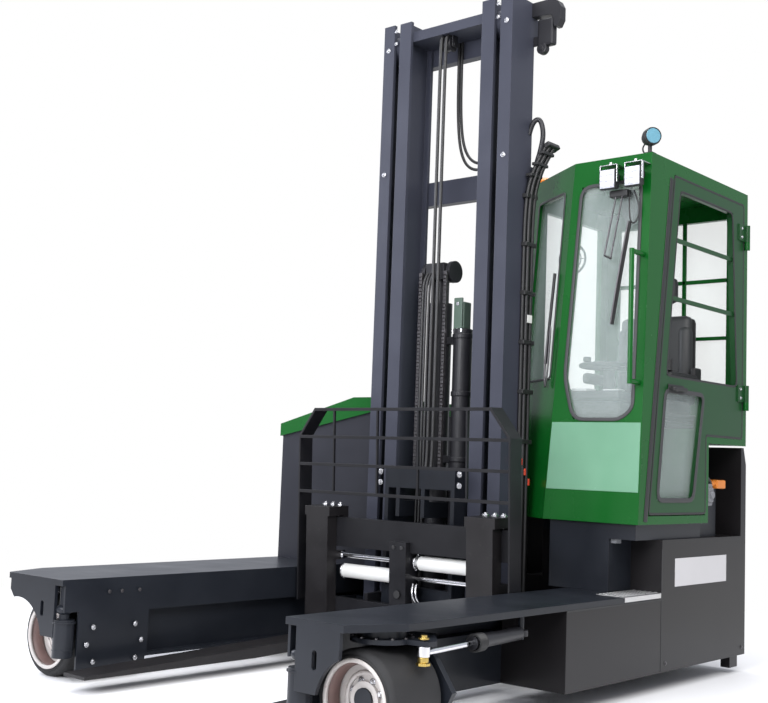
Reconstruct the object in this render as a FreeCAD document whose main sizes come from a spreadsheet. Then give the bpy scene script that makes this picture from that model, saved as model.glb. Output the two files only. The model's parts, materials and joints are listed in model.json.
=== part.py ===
"""Multidirectional reach-mast forklift, modelled in millimetres.

+Z is up, the forks point along -Y and the cab is on the +X side. The origin
is on the ground, in the middle of the truck's length and width.
"""
import FreeCAD, Part
import os
import re
import Sketcher

V = FreeCAD.Vector
doc = FreeCAD.newDocument("multidirectional_forklift")
sheet = doc.addObject("Spreadsheet::Sheet", "size")

# Driving sizes: alias, value and what it measures
SIZES = [
    # chassis
    ("near_edge", 1138, "x of the outer edge of the near arm"),
    ("far_edge", 1178, "origin to the outer edge of the far arm"),
    ("opening_mid", 44, "x of the middle of the fork opening"),
    ("opening_half", 701, "half of the clear opening between the arms"),
    ("deck_front", -1495, "y of the front edge of the arms"),
    ("deck_top", 462, "height of the arm decks"),
    ("deck_plate", 27, "thickness of the deck plates"),
    ("arm_bottom", 90, "underside of the arms"),
    ("wheel_wall_bottom", 58, "underside of the deeper wall beside each front wheel"),
    ("wheel_wall_length", 470, "length of that deeper wall"),
    ("wall", 12, "thickness of the arm walls"),
    ("channel_depth", 62, "depth of the reach channel in the inner walls"),
    ("channel_lip", 14, "thickness of the channel's two lips"),
    ("channel_top", 318, "height of the top of the channel"),
    ("channel_end", 2330, "front edge to the rear end of the channel"),
    ("end_plate", 16, "thickness of the front end plates"),
    ("end_plate_drop", 120, "depth of the end plates below the deck plate"),
    ("end_arch", 192, "radius of the wheel cut-out in the end plates"),
    ("corner_cut_near", 105, "length of the cut front corner of the near deck"),
    ("corner_cut_far", 92, "length of the cut front corner of the far deck"),
    ("corner_cut_back", 230, "how far the cut corners run back"),
    ("chassis_rear", 3040, "front edge to the rear face"),
    ("floor_plate", 20, "thickness of the chassis floor"),
    # front wheels
    ("tyre_radius", 185, "radius of a front tyre"),
    ("tyre_width", 276, "width of a front tyre"),
    ("rim_radius", 150, "radius of a front rim"),
    ("rim_wall", 9, "thickness of the rim band"),
    ("rim_recess", 66, "depth of the dished face of a rim"),
    ("rim_disc", 40, "thickness of a rim's disc"),
    ("bore_radius", 42, "radius of the hub bore"),
    ("axle_gap", 0.05, "running gap between axle and hub bore"),
    ("wheel_back", 242, "front edge to a front wheel's centre"),
    ("near_wheel_out", 958, "opening middle to the near wheel's centre"),
    ("far_wheel_out", 950, "opening middle to the far wheel's centre"),
    ("wheel_gap", 12, "gap between a wheel and its knuckle"),
    ("leg_plate", 26, "thickness of a knuckle's leg"),
    ("leg_half", 84, "half width of a knuckle's leg"),
    ("top_plate", 18, "thickness of a knuckle's top plate"),
    ("slew_radius", 92, "radius of a slewing ring"),
    ("slide_gap", 0.3, "gap between parts that slide on each other"),
    ("lever_reach", 172, "knuckle centre to its steering pin, sideways"),
    ("lever_back", 28, "knuckle centre to its steering pin, rearwards"),
    ("lever_half", 34, "half width of the end of the steering lever"),
    # steering cylinders
    ("eye_radius", 24, "radius of a steering rod's eye"),
    ("eye_height", 24, "height of that eye"),
    ("rod_radius", 11, "radius of a steering rod"),
    ("barrel_radius", 27, "radius of a steering barrel"),
    ("barrel_back", 1010, "front edge to the rear pin of a steering barrel"),
    ("barrel_length", 400, "length of a steering barrel"),
    ("anchor_radius", 13, "radius of the rear pin of a steering barrel"),
    ("pin_gap", 0.05, "running gap round a pin"),
    # rear drive wheel
    ("rear_wheel_back", 2690, "front edge to the drive wheel's centre"),
    ("rear_tyre_width", 170, "width of the drive tyre"),
    # reach carriage and mast
    ("mast_back", 1693, "front edge to the front flange of the mast"),
    ("rail_depth", 200, "depth of the outer mast channel"),
    ("flange", 20, "thickness of the mast flanges"),
    ("outer_rail_out", 432, "opening middle to the outside of the outer rails"),
    ("outer_flange", 74, "width of an outer rail"),
    ("inner_rail_out", 319, "opening middle to the outside of the inner rails"),
    ("inner_flange", 80, "width of an inner rail"),
    ("rail_web", 18, "thickness of the mast webs"),
    ("mast_foot", 108, "height of the foot of the mast"),
    ("mast_top", 3439, "height of the top of the mast"),
    ("cross_depth", 55, "thickness of the mast cross members"),
    ("cross_height", 130, "height of the mast cross members"),
    ("mid_cross_top", 2575, "height of the top of the middle cross member"),
    ("reach_side", 22, "thickness of the reach carriage side plates"),
    ("reach_gap", 14, "gap between the reach carriage and the arm walls"),
    ("roller_width", 40, "width of a reach roller"),
    ("front_roller_back", 1740, "front edge to the front reach roller"),
    ("rear_roller_back", 2190, "front edge to the rear reach roller"),
    # free lift ram
    ("ram_out", -57, "opening middle to the free lift ram"),
    ("ram_radius", 62, "radius of the ram barrel"),
    ("ram_rod", 42, "radius of the ram's rod"),
    ("ram_top", 1880, "height of the top of the ram barrel"),
    ("ram_back", 108, "mast front to the ram's centre"),
    ("head_top", 2090, "height of the top of the ram's head"),
    # fork carriage
    ("guard_back", 1442, "front edge to the front of the load guard"),
    ("guard_half", 685, "half width of the load guard"),
    ("guard_top", 1314, "height of the top bar of the load guard"),
    ("guard_pitch", 144, "height between the guard's bars"),
    ("guard_bar", 16, "height of a guard bar"),
    ("side_strip", 10, "thickness of the guard's side plates"),
    ("side_depth", 92, "depth of the guard's side plates"),
    ("beam_top", 745, "height of the top of the fork beam"),
    ("beam_plate", 40, "thickness of the fork beam"),
    ("beam_height", 150, "height of the upper fork beam"),
    ("fork_out", 525, "opening middle to the middle of a fork"),
    ("fork_width", 152, "width of a fork"),
    ("fork_front", 1424, "front edge to the front of the fork shanks"),
    ("fork_length", 1470, "length of the fork blades"),
    ("fork_heel", 52, "thickness of a fork at its heel"),
    ("fork_tip", 14, "thickness of a fork at its tip"),
    ("fork_under", 92, "height of the underside of the forks at the heel"),
    ("fork_droop", 2.1, "angle by which the carriage leans forward"),
    ("tilt_back", 1640, "front edge to the carriage's tilt pin"),
    ("tilt_height", 330, "height of the tilt pin"),
    ("tilt_pin", 22, "radius of the tilt pin"),
    # hood
    ("hood_out", 1153, "origin to the outside of the hood"),
    ("hood_in", 464, "opening middle to the inside of the hood"),
    ("hood_front", 1790, "front edge to the front of the hood"),
    ("hood_low", 1222, "height of the hood at its outer edge"),
    ("hood_high", 1372, "height of the hood at its inner edge"),
    ("hood_flat", 173, "width of the flat inner part of the hood"),
    ("hood_wall", 14, "thickness of the hood's walls"),
    ("lid_height", 62, "height of the hood lid's skirt"),
    # cab
    ("cab_front", 1870, "front edge to the front of the cab"),
    ("cab_rear", 3035, "front edge to the rear of the cab"),
    ("cab_bottom", 786, "height of the underside of the cab"),
    ("cab_top", 2570, "height of the cab roof"),
    ("cab_left", 571, "opening middle to the cab's front left corner"),
    ("cab_inside", 210, "opening middle to the inner side of the cab"),
    ("facet_back", 230, "how far the slanted window runs back"),
    ("cab_wall", 34, "thickness of the cab's walls"),
    ("cab_floor", 40, "thickness of the cab's floor"),
    ("roof_plate", 40, "thickness of the cab's roof"),
    ("door_front", 1960, "front edge to the door's lower front corner"),
    ("door_rear", 2985, "front edge to the rear of the door"),
    ("door_top", 2505, "height of the top of the door"),
    ("door_notch_back", 2557, "front edge to the notch in the door"),
    ("door_notch", 1225, "height of the notch in the door"),
    ("door_gap", 6, "gap round the door"),
    ("door_frame", 70, "width of the door's frame"),
    ("hinge_radius", 14, "radius of the door's hinge barrels"),
    ("glass", 6, "thickness of the glass"),
    # battery
    ("battery_height", 560, "height of the battery"),
    # front posts, end plates and slots
    ("post_out", 743, "opening middle to a corner post"),
    ("post_back", 46, "front edge to the middle of a corner post"),
    ("post_radius", 46, "radius of a corner post"),
    ("post_bottom", 118, "height of the foot of a corner post"),
    ("post_neck", 152, "gap between a post's cap and the deck plate"),
    ("post_rim", 6, "how far a post's collar stands out"),
    ("post_collar", 268, "height of a post's collar"),
    ("end_plate_in", 758, "opening middle to the inner edge of an end plate"),
    ("end_plate_skirt", 110, "how much deeper the end plates are at the inner side"),
    ("end_plate_lip", 48, "depth of the end plates at the outer side"),
    ("end_arch_out", 92, "wheel centre to the arch's centre, sideways"),
    ("end_arch_drop", 20, "wheel centre to the arch's centre, downwards"),
    ("slot_radius", 12, "half width of the slot in an end plate"),
    ("slot_out", 852, "opening middle to the slot"),
    ("slot_height", 302, "height of the slot's lower centre"),
    ("slot_rise", 46, "distance between the slot's centres"),
    # knuckles
    ("knuckle_top", 404, "height of the top of a knuckle"),
    ("rod_height", 361, "height of the steering cylinders"),
    ("barrel_out", 1042, "opening middle to the rear pin of a steering barrel"),
    ("anchor_spare", 14, "how far an anchor pin passes the barrel's eye"),
    ("tank_front", 1273, "front edge to the front of the side boxes"),
    ("tank_rear", 2109, "front edge to the rear of the side boxes"),
    ("hub_wall", 24, "thickness of the hub round its bore"),
    ("hub_proud", 14, "how far a hub stands in front of its disc"),
    ("hub_back", 20, "how far a hub stands behind its disc"),
    ("leg_flare", 214, "knuckle centre to the outer corner of its leg"),
    ("leg_bottom", 92, "height of the foot of a leg"),
    ("motor_radius", 72, "radius of a wheel motor"),
    ("hub_motor", 34, "length of a wheel motor behind its leg"),
    ("axle_proud", 8, "how far an axle stands out of its hub"),
    ("flange_gap", 2, "gap between the hub and the axle's shoulder"),
    ("pin_head", 6, "height of a steering pin's head"),
    ("eye_gap", 1, "gap between a steering lever and the eye under it"),
    ("rod_inside", 90, "length of a steering rod inside its barrel"),
    # rear drive unit, tub and battery
    ("rear_wheel_x", -20, "x of the drive wheel"),
    ("turntable_radius", 215, "radius of the drive wheel's turntable"),
    ("turntable_top", 420, "height of the top of the turntable"),
    ("drive_motor", 240, "height of the drive motor"),
    ("tub_top", 712, "height of the sides of the rear chassis"),
    ("rear_wall", 60, "thickness of the rear wall"),
    ("shelf_edge", 30, "how far the turntable's shelf passes the turntable"),
    ("lid_crown", 10, "thickness of the hood lid"),
    # cab openings
    ("screen_edge", 52, "width of the frame round the windscreen"),
    ("screen_bottom", 1276, "height of the bottom of the windscreen"),
    ("screen_top", 2440, "height of the top of the windows"),
    ("side_screen_bottom", 1480, "height of the bottom of the side windows"),
    ("door_rail", 1467, "height of the door's middle rail"),
    ("bar_height", 22, "height of the door's bars"),
    ("hinge_length", 90, "length of the door's hinges"),
    ("hinge_low", 1425, "height of the lower door hinge"),
    ("hinge_high", 2300, "height of the upper door hinge"),
    # small parts of the mast and the carriage
    ("head_half", 60, "half width of the ram's head"),
    ("head_height", 90, "height of the ram's head"),
    ("beam_back", 1494, "front edge to the front of the fork beam"),
    ("lift_bottom", 300, "height of the underside of the lift plates"),
    ("lift_height", 715, "height of the lift plates"),
    ("lift_plate", 24, "thickness of a lift plate"),
    ("guard_bottom", 300, "height of the foot of the load guard"),
    ("bar_depth", 12, "depth of a guard bar"),
    ("beam_low", 330, "height of the top of the lower fork beam"),
    ("middle_plate", 106, "width of the plate between the spread cylinders"),
    # spread cylinders
    ("spread_radius", 36, "radius of a spread barrel"),
    ("spread_rod", 12, "radius of a spread rod"),
    ("spread_high", 546, "height of the upper spread cylinder"),
    ("spread_low", 468, "height of the lower spread cylinder"),
    # cab furniture
    ("seat_out", 660, "opening middle to the middle of the seat"),
    ("seat_half", 240, "half width of the seat"),
    ("cushion", 100, "thickness of the cushions"),
    ("seat_top", 1900, "height of the top of the backrest"),
    ("column_radius", 28, "radius of the steering column"),
    ("steering_radius", 150, "radius of the steering wheel"),
    # pedestal, step and rear post
    ("pedestal_inset", 26, "how far the pedestal is set in from the cab"),
    ("step_out", 945, "opening middle to the inner edge of the step"),
    ("step_plate", 6, "thickness of the step"),
    # glass, lamps and rail
    ("lamp_out", 905, "opening middle to the middle of the first work lamp"),
    ("lamp_pitch", 136, "distance between the work lamps"),
    ("lamp_half", 50, "half width of a work lamp"),
    ("lamp_lap", 50, "how far a work lamp laps over the windscreen's top"),
    ("spot_in", 30, "cab corner to the spot lamp"),
    ("spot_rise", 60, "height of the spot lamp's post"),
    ("spot_radius", 44, "radius of the spot lamp"),
    ("beacon_radius", 50, "radius of the beacon"),
    ("rail_tube", 12, "radius of the grab rail"),
    ("rail_low", 1440, "height of the foot of the grab rail"),
    ("rail_high", 2080, "height of the top of the grab rail"),
    ("lug_out", 245, "opening middle to the inner face of a tilt lug"),
    ("lug_half", 36, "half height of a tilt lug"),
    ("tilt_pin_half", 290, "half length of the tilt pin"),
    # rear chassis, hood and lid
    ("wall_top", 1180, "height of the rear wall behind the battery"),
    ("wall_chamfer", 90, "height of the rear wall's cut corner"),
    ("battery_gap", 10, "gap round the battery"),
    ("battery_in", 340, "x of the battery's inner side"),
    ("cover_top", 900, "height of the cover over the drive motor"),
    ("lid_gap", 5, "gap under the hood lid"),
    ("lid_lap", 12, "how far the hood lid laps over the hood"),
    # load guard and forks
    ("guard_corner", 112, "width of the load guard's cut corners"),
    ("guard_upright", 5, "half width of the load guard's uprights"),
    ("hook_low", 751, "height of the underside of the forks' hooks"),
    ("hook_high", 800, "height of the top of the forks' hooks"),
    ("hook_back", 1570, "front edge to the rear of the forks' hooks"),
    ("hook_over", 12, "how far a hook passes its fork's sides"),
    ("hook_lip", 24, "height of a hook's lip behind the beam"),
    ("rod_lug", 22, "half height of the lug behind a fork"),
    ("lug_depth", 70, "depth of the lug behind a fork"),
    ("spread_back", 1535, "front edge to the spread cylinders"),
    ("spread_start", 92, "opening middle to the upper spread barrel"),
    ("spread_end", 440, "opening middle to the outer end of the upper spread barrel"),
    ("spread_far_end", 420, "opening middle to the outer end of the lower spread barrel"),
    ("spread_inside", 100, "how far a spread rod runs past the middle"),
    ("plate_rear", 1552, "front edge to the rear of the middle plate"),
    ("plate_front", 1458, "front edge to the front of the middle plate"),
    # mast rollers and lift plates
    ("lift_front", 1600, "front edge to the front of the lift plates"),
    ("lift_out", 227, "opening middle to the outer face of a lift plate"),
    ("rail_clear", 5, "gap between a roller and the web beside it"),
    # cab inside
    ("shelf_top", 1262, "height of the raised floor under the seat"),
    ("seat_front", 2400, "front edge to the front of the seat"),
    ("seat_rear", 2900, "front edge to the rear of the seat"),
    ("seat_base", 38, "height of the seat's base over the raised floor"),
    ("head_low", 1960, "height of the foot of the head rest"),
    ("head_high", 2110, "height of the top of the head rest"),
    ("dash_out", 790, "opening middle to the middle of the dash"),
    ("dash_half", 150, "half width of the dash"),
    ("dash_back", 2130, "front edge to the rear of the dash"),
    ("dash_height", 1420, "height of the dash"),
    ("wheel_rise", 120, "dash to the steering wheel"),
    # cab trim
    ("hinge_stand", 16, "cab side to the axis of the door's hinges"),
    ("door_proud", 2, "how far the door stands out of the cab's side"),
    ("strap", 8, "thickness of the door's hinge straps"),
    ("bar_low", 1880, "height of the door's lower bar"),
    ("bar_high", 2175, "height of the door's upper bar"),
    ("lamp_back", 1850, "front edge to the front of the work lamps"),
    ("beacon_rise", 45, "height of the beacon"),
    ("rail_x", 1112, "x of the grab rail"),
    ("rail_y", 1815, "front edge to the grab rail"),
    # recesses, window corners, rollers, cross bars and the guard
    ("seal_width", 20, "width of the strip under the hood lid"),
    ("well_top", 1190, "height of the recess under the raised floor"),
    ("screen_cut", 120, "width of the windscreen's lower corners"),
    ("door_lean", 220, "how far the door's front edge runs back to its top"),
    ("sill_glass", 900, "height of the bottom of the door's lower window"),
    ("roller_clear", 6, "gap between the channel's mouth and a reach roller"),
    ("roller_end", 120, "distance from a rail's end to its roller"),
    ("inner_top", 3435, "height of the top of the inner rails"),
    ("cross_drop", 76, "mast top to the upper cross member"),
    ("lift_behind", 60, "how far a lift plate runs past the rollers' centres"),
    ("anchor_height", 110, "height of the lift carriage's cross bars"),
    ("upright_in", 133, "opening middle to an inner upright of the guard"),
    ("upright_out", 433, "opening middle to an outer upright of the guard"),
    ("plate_top", 648, "height of the top of the middle plate"),
    ("post_edge", 927, "opening middle to the near side of the pedestal's post"),
    # seams, shoulders, feet and chain parts
    ("deck_seam", 3, "width and depth of the seam behind a load deck"),
    ("screen_lean", 80, "how far the cab's front leans back to its roof"),
    ("corner_lean", 93, "how far the cab's front left corner moves aside to its roof"),
    ("tyre_shoulder", 24, "width of a tyre's rounded shoulder"),
    ("pad_in", 14, "chassis side to a rear foot"),
    ("pad_width", 50, "width of a rear foot"),
    ("pad_depth", 90, "length of a rear foot"),
    ("pad_low", 30, "height of the underside of the rear feet"),
    ("sheave_radius", 58, "radius of a chain sheave"),
    ("sheave_width", 24, "width of a chain sheave"),
    ("sheave_in", 70, "ram centre to the inner face of a sheave"),
    ("sheave_pin", 20, "radius of the sheaves' pin"),
    ("chain_foot", 760, "height of the underside of the chain anchors"),
    ("chain_block", 80, "height of a chain anchor"),
]
for row, (alias, value, note) in enumerate(SIZES, 1):
    sheet.set(f"A{row}", note)
    sheet.set(f"B{row}", str(value))
    sheet.setAlias(f"B{row}", alias)
doc.recompute()

NAMES = re.compile(r"\b(" + "|".join(sorted((s[0] for s in SIZES), key=len, reverse=True)) + r")\b")
READ = {alias: getattr(sheet, alias) for alias, _, _ in SIZES}


def formula(text):
    """The expression with each size's name pointing at its cell."""
    return NAMES.sub(r"size.\1", str(text))


def number(text):
    """The value of the same expression, for the code's own sums."""
    scope = dict(READ)
    return float(FreeCAD.Units.Quantity(NAMES.sub(lambda m: repr(float(scope[m.group(1)])), str(text))).Value)


def bind(thing, prop, text):
    thing.setExpression(prop, formula(text))


def put(thing, x=0, y=0, z=0):
    for axis, text in zip("xyz", (x, y, z)):
        bind(thing, f"Placement.Base.{axis}", text)


count = {}


def new(kind, name):
    count[name] = count.get(name, 0) + 1
    return doc.addObject(kind, f"{name}_{count[name]}")


def box(name, low, high):
    """A block between two corners, each given as three expressions."""
    it = new("Part::Box", name)
    for prop, a, b in zip(("Length", "Width", "Height"), low, high):
        bind(it, prop, f"({b}) - ({a})")
    put(it, *low)
    return it


TURN = {
    "x": FreeCAD.Rotation(V(0, 1, 0), 90),
    "y": FreeCAD.Rotation(V(1, 0, 0), -90),
    "z": FreeCAD.Rotation(),
}
FLAT = {
    "x": FreeCAD.Rotation(V(1, 1, 1), 120),
    "y": FreeCAD.Rotation(V(1, 0, 0), 90),
    "z": FreeCAD.Rotation(),
}
WAY = {"x": V(1, 0, 0), "y": V(0, 1, 0), "z": V(0, 0, 1)}


def rod(name, axis, radius, base, length, inner=None):
    """A cylinder or tube that starts at base and runs along an axis."""
    it = new("Part::Cylinder", name)
    bind(it, "Radius", radius)
    bind(it, "Height", length)
    it.Placement = FreeCAD.Placement(V(), TURN[axis])
    put(it, *base)
    if inner is None:
        return it
    hole = new("Part::Cylinder", name)
    bind(hole, "Radius", inner)
    bind(hole, "Height", length)
    hole.Placement = FreeCAD.Placement(V(), TURN[axis])
    put(hole, *base)
    return cut(name, it, [hole])


def fuse(name, parts):
    if len(parts) == 1:
        return parts[0]
    it = new("Part::MultiFuse", name)
    it.Shapes = parts
    return it


def common(name, parts):
    """What all the parts share."""
    it = new("Part::MultiCommon", name)
    it.Shapes = parts
    return it


def cut(name, base, tools):
    it = new("Part::Cut", name)
    it.Base = base
    it.Tool = fuse(name, tools)
    return it


def drawing(name, rings):
    """A sketch of closed outlines, each corner held by the sizes it is given in."""
    flat = new("Sketcher::SketchObject", name)
    for ring in rings:
        first = flat.GeometryCount
        spots = [V(number(a), number(b), 0) for a, b in ring]
        for i, spot in enumerate(spots):
            flat.addGeometry(Part.LineSegment(spot, spots[(i + 1) % len(spots)]))
        for i, (a, b) in enumerate(ring):
            here = first + i
            there = first + (i + 1) % len(ring)
            flat.addConstraint(Sketcher.Constraint("Coincident", here, 2, there, 1))
            for kind, text in (("DistanceX", a), ("DistanceY", b)):
                slot = flat.addConstraint(Sketcher.Constraint(kind, -1, 1, here, 1, number(text)))
                flat.setExpression(f"Constraints[{slot}]", formula(text))
    return flat


def prism(name, axis, outline, start, end, holes=()):
    """A flat outline, corner by corner, pushed along an axis from start to end."""
    flat = drawing(name, [outline, *holes])
    flat.Placement = FreeCAD.Placement(V(), FLAT[axis])
    bind(flat, f"Placement.Base.{axis}", start)
    it = new("Part::Extrusion", name)
    it.Base = flat
    it.DirMode = "Custom"
    it.Dir = WAY[axis]
    it.Solid = True
    it.FaceMakerClass = "Part::FaceMakerBullseye"
    bind(it, "LengthFwd", f"({end}) - ({start})")
    return it


def spun(name, profile, base):
    """A profile of (radius, place along the axis) corners, turned about an axis along Y through base."""
    it = new("Part::Revolution", name)
    it.Source = drawing(name, [profile])
    it.Axis = WAY["y"]
    it.Solid = True
    put(it, *base)
    return it


def lean(name, parts):
    """Joins parts and tips them forward about the carriage's tilt pin."""
    it = fuse(name, parts)
    it.Placement = FreeCAD.Placement(V(), FreeCAD.Rotation(V(1, 0, 0), 1))
    bind(it, "Placement.Rotation.Angle", "fork_droop")
    back = "(deck_front + tilt_back)"
    bind(it, "Placement.Base.y", f"{back} - {back} * cos(fork_droop) + tilt_height * sin(fork_droop)")
    bind(it, "Placement.Base.z", f"tilt_height - {back} * sin(fork_droop) - tilt_height * cos(fork_droop)")
    return it


pieces = {}


def piece(name, parts):
    """Names a finished sub-part."""
    whole = fuse(name, parts)
    whole.Label = name
    pieces[name] = whole
    return whole


def y(text):
    """A place measured back from the front edge of the arms."""
    return f"deck_front + ({text})"


def side(sign, text):
    """A place measured sideways from the middle of the opening."""
    return f"opening_mid + {sign} * ({text})"


# Arms, mirrored about the fork opening but of different widths
ARMS = [
    # name, sign, wheel centre, length of the cut corner, what stands behind the load deck
    ("near", "1", "near_wheel_out", "corner_cut_near", "cab_front + pedestal_inset"),
    ("far", "-1", "far_wheel_out", "corner_cut_far", "hood_front"),
]
UNDER_DECK = "deck_top - deck_plate"


def span(sign, low, high):
    """Two places measured sideways from the opening, in rising order."""
    a, b = side(sign, low), side(sign, high)
    return (a, b) if sign == "1" else (b, a)


def edge(sign):
    """Outer edge of an arm, measured from the middle of the opening."""
    return "near_edge - opening_mid" if sign == "1" else "far_edge + opening_mid"


def step_block(name, rise):
    """The tread step's block in the near deck behind its seam, up to a height over the deck."""
    return box(
        name,
        (side("1", "step_out"), y("cab_front + pedestal_inset + wall"), "deck_top - step_plate"),
        ("near_edge", y("tank_rear - wall"), f"deck_top + {rise}"),
    )


def build_arm(name, sign, wheel_out, corner, deck_end):
    """Deck plate, walls, end plate and reach channel of one arm."""
    outer = edge(sign)
    seam_in, seam_out = span(sign, "opening_half - wall", f"{outer} + wall")
    seam = box(
        f"{name}_seam",
        (seam_in, y(f"{deck_end} - deck_seam"), "deck_top - deck_seam"),
        (seam_out, y(deck_end), "deck_top + deck_seam"),
    )
    recess = [step_block(f"{name}_recess", "step_plate")] if sign == "1" else []
    plain_deck = prism(
        f"{name}_deck",
        "z",
        [
            (side(sign, "opening_half"), y("0")),
            (side(sign, f"{outer} - {corner}"), y("0")),
            (side(sign, outer), y("corner_cut_back")),
            (side(sign, outer), y("tank_rear")),
            (side(sign, "opening_half"), y("tank_rear")),
        ],
        UNDER_DECK,
        "deck_top",
    )
    deck = cut(f"{name}_deck", plain_deck, [seam, *recess])
    inner, skin = span(sign, "opening_half", "opening_half + wall")
    upper = box(f"{name}_wall", (inner, y("end_plate"), "channel_top"), (skin, y("channel_end"), UNDER_DECK))
    beside = box(
        f"{name}_wall",
        (inner, y("post_back + post_radius"), "wheel_wall_bottom"),
        (skin, y("wheel_wall_length"), "channel_top"),
    )
    lip_in, lip_out = span(sign, "opening_half", "opening_half + channel_depth")
    start, end = y("wheel_wall_length"), y("channel_end")
    lips = [
        box(f"{name}_lip", (lip_in, start, "channel_top - channel_lip"), (lip_out, end, "channel_top")),
        box(f"{name}_lip", (lip_in, start, "arm_bottom"), (lip_out, end, "arm_bottom + channel_lip")),
    ]
    web_in, web_out = span(sign, "opening_half + channel_depth - wall", "opening_half + channel_depth")
    web = box(f"{name}_web", (web_in, start, "arm_bottom"), (web_out, end, "channel_top"))
    stop_in, stop_out = span(sign, "opening_half", "opening_half + channel_depth")
    stop = box(f"{name}_stop", (stop_in, start, "arm_bottom"), (stop_out, f"{start} + wall", "channel_top"))
    roof_in, roof_out = span(sign, "opening_half + wall", "opening_half + channel_depth")
    roof = box(f"{name}_roof", (roof_in, start, "channel_top - wall"), (roof_out, end, "channel_top"))
    plate_low = f"{UNDER_DECK} - end_plate_drop - end_plate_skirt"
    plate = prism(
        f"{name}_end",
        "y",
        [
            (side(sign, "end_plate_in"), plate_low),
            (side(sign, "end_plate_in"), UNDER_DECK),
            (side(sign, f"{outer} - {corner} - end_plate"), UNDER_DECK),
            (side(sign, f"{outer} - {corner} - end_plate"), f"{UNDER_DECK} - end_plate_lip"),
            (side(sign, f"{wheel_out}"), plate_low),
        ],
        y("0"),
        y("end_plate"),
    )
    arch = rod(
        f"{name}_arch",
        "y",
        "end_arch",
        (side(sign, f"{wheel_out} + end_arch_out"), y("-wall"), "tyre_radius - end_arch_drop"),
        "end_plate + 2 * wall",
    )
    slot = rod(
        f"{name}_slot",
        "y",
        "slot_radius",
        (side(sign, "slot_out"), y("-wall"), "slot_height"),
        "end_plate + 2 * wall",
    )
    slot_top = rod(
        f"{name}_slot",
        "y",
        "slot_radius",
        (side(sign, "slot_out"), y("-wall"), "slot_height + slot_rise"),
        "end_plate + 2 * wall",
    )
    slot_in, slot_out = span(sign, "slot_out - slot_radius", "slot_out + slot_radius")
    slot_mid = box(
        f"{name}_slot",
        (slot_in, y("-wall"), "slot_height"),
        (slot_out, y("end_plate + wall"), "slot_height + slot_rise"),
    )
    end = cut(f"{name}_end", plate, [arch, slot, slot_top, slot_mid])
    post = rod(
        f"{name}_post",
        "z",
        "post_radius",
        (side(sign, "post_out"), y("post_back"), "post_bottom"),
        f"{UNDER_DECK} - post_bottom - post_neck",
    )
    collar = rod(
        f"{name}_post",
        "z",
        "post_radius + post_rim",
        (side(sign, "post_out"), y("post_back"), "post_collar"),
        "post_rim",
    )
    neck = rod(
        f"{name}_post",
        "z",
        "post_radius / 2",
        (side(sign, "post_out"), y("post_back"), "post_collar"),
        f"{UNDER_DECK} - post_collar",
    )
    slew = rod(
        f"{name}_slew",
        "z",
        "slew_radius",
        (side(sign, wheel_out), y("wheel_back"), "knuckle_top + slide_gap"),
        f"{UNDER_DECK} - knuckle_top - slide_gap",
    )
    anchor = rod(
        f"{name}_anchor",
        "z",
        "anchor_radius",
        (side(sign, "barrel_out"), y("barrel_back"), "rod_height - eye_height / 2 - anchor_spare"),
        f"{UNDER_DECK} - rod_height + eye_height / 2 + anchor_spare",
    )
    piece(f"{name}_arm", [deck, upper, beside, *lips, web, stop, roof, end, post, collar, neck, slew, anchor])
    # closed box behind the wheel bay
    low, high = span(sign, "opening_half + channel_depth", outer)
    tank = box(f"{name}_tank", (low, y("tank_front"), "arm_bottom"), (high, y("tank_rear"), UNDER_DECK))
    inside = box(
        f"{name}_tank",
        (f"{low} + wall", y("tank_front + wall"), "arm_bottom + wall"),
        (f"{high} - wall", y("tank_rear - wall"), f"{UNDER_DECK} - wall"),
    )
    piece(f"{name}_side_box", [cut(f"{name}_tank", tank, [inside])])


for row in ARMS:
    build_arm(*row)


# Front wheels and the knuckles that steer them
def build_wheel(name, x, back, radius, width):
    """Tyre with rounded shoulders and dished rim, on an axis along Y."""
    front = f"{y(back)} - ({width}) / 2"
    profile = [
        ("rim_radius", "0"),
        (f"{radius} - tyre_shoulder", "0"),
        (f"{radius} - tyre_shoulder / 3", "tyre_shoulder / 3"),
        (radius, "tyre_shoulder"),
        (radius, f"{width} - tyre_shoulder"),
        (f"{radius} - tyre_shoulder / 3", f"{width} - tyre_shoulder / 3"),
        (f"{radius} - tyre_shoulder", width),
        ("rim_radius", width),
    ]
    piece(f"{name}_tyre", [spun(f"{name}_tyre", profile, (x, front, radius))])
    band = rod(f"{name}_rim", "y", "rim_radius", (x, front, radius), width, inner="rim_radius - rim_wall")
    disc = rod(
        f"{name}_rim",
        "y",
        "rim_radius",
        (x, f"{front} + rim_recess", radius),
        "rim_disc",
        inner="bore_radius",
    )
    hub = rod(
        f"{name}_rim",
        "y",
        "bore_radius + hub_wall",
        (x, f"{front} + rim_recess - hub_proud", radius),
        "rim_disc + hub_proud + hub_back",
        inner="bore_radius",
    )
    piece(f"{name}_rim", [band, disc, hub])


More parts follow.
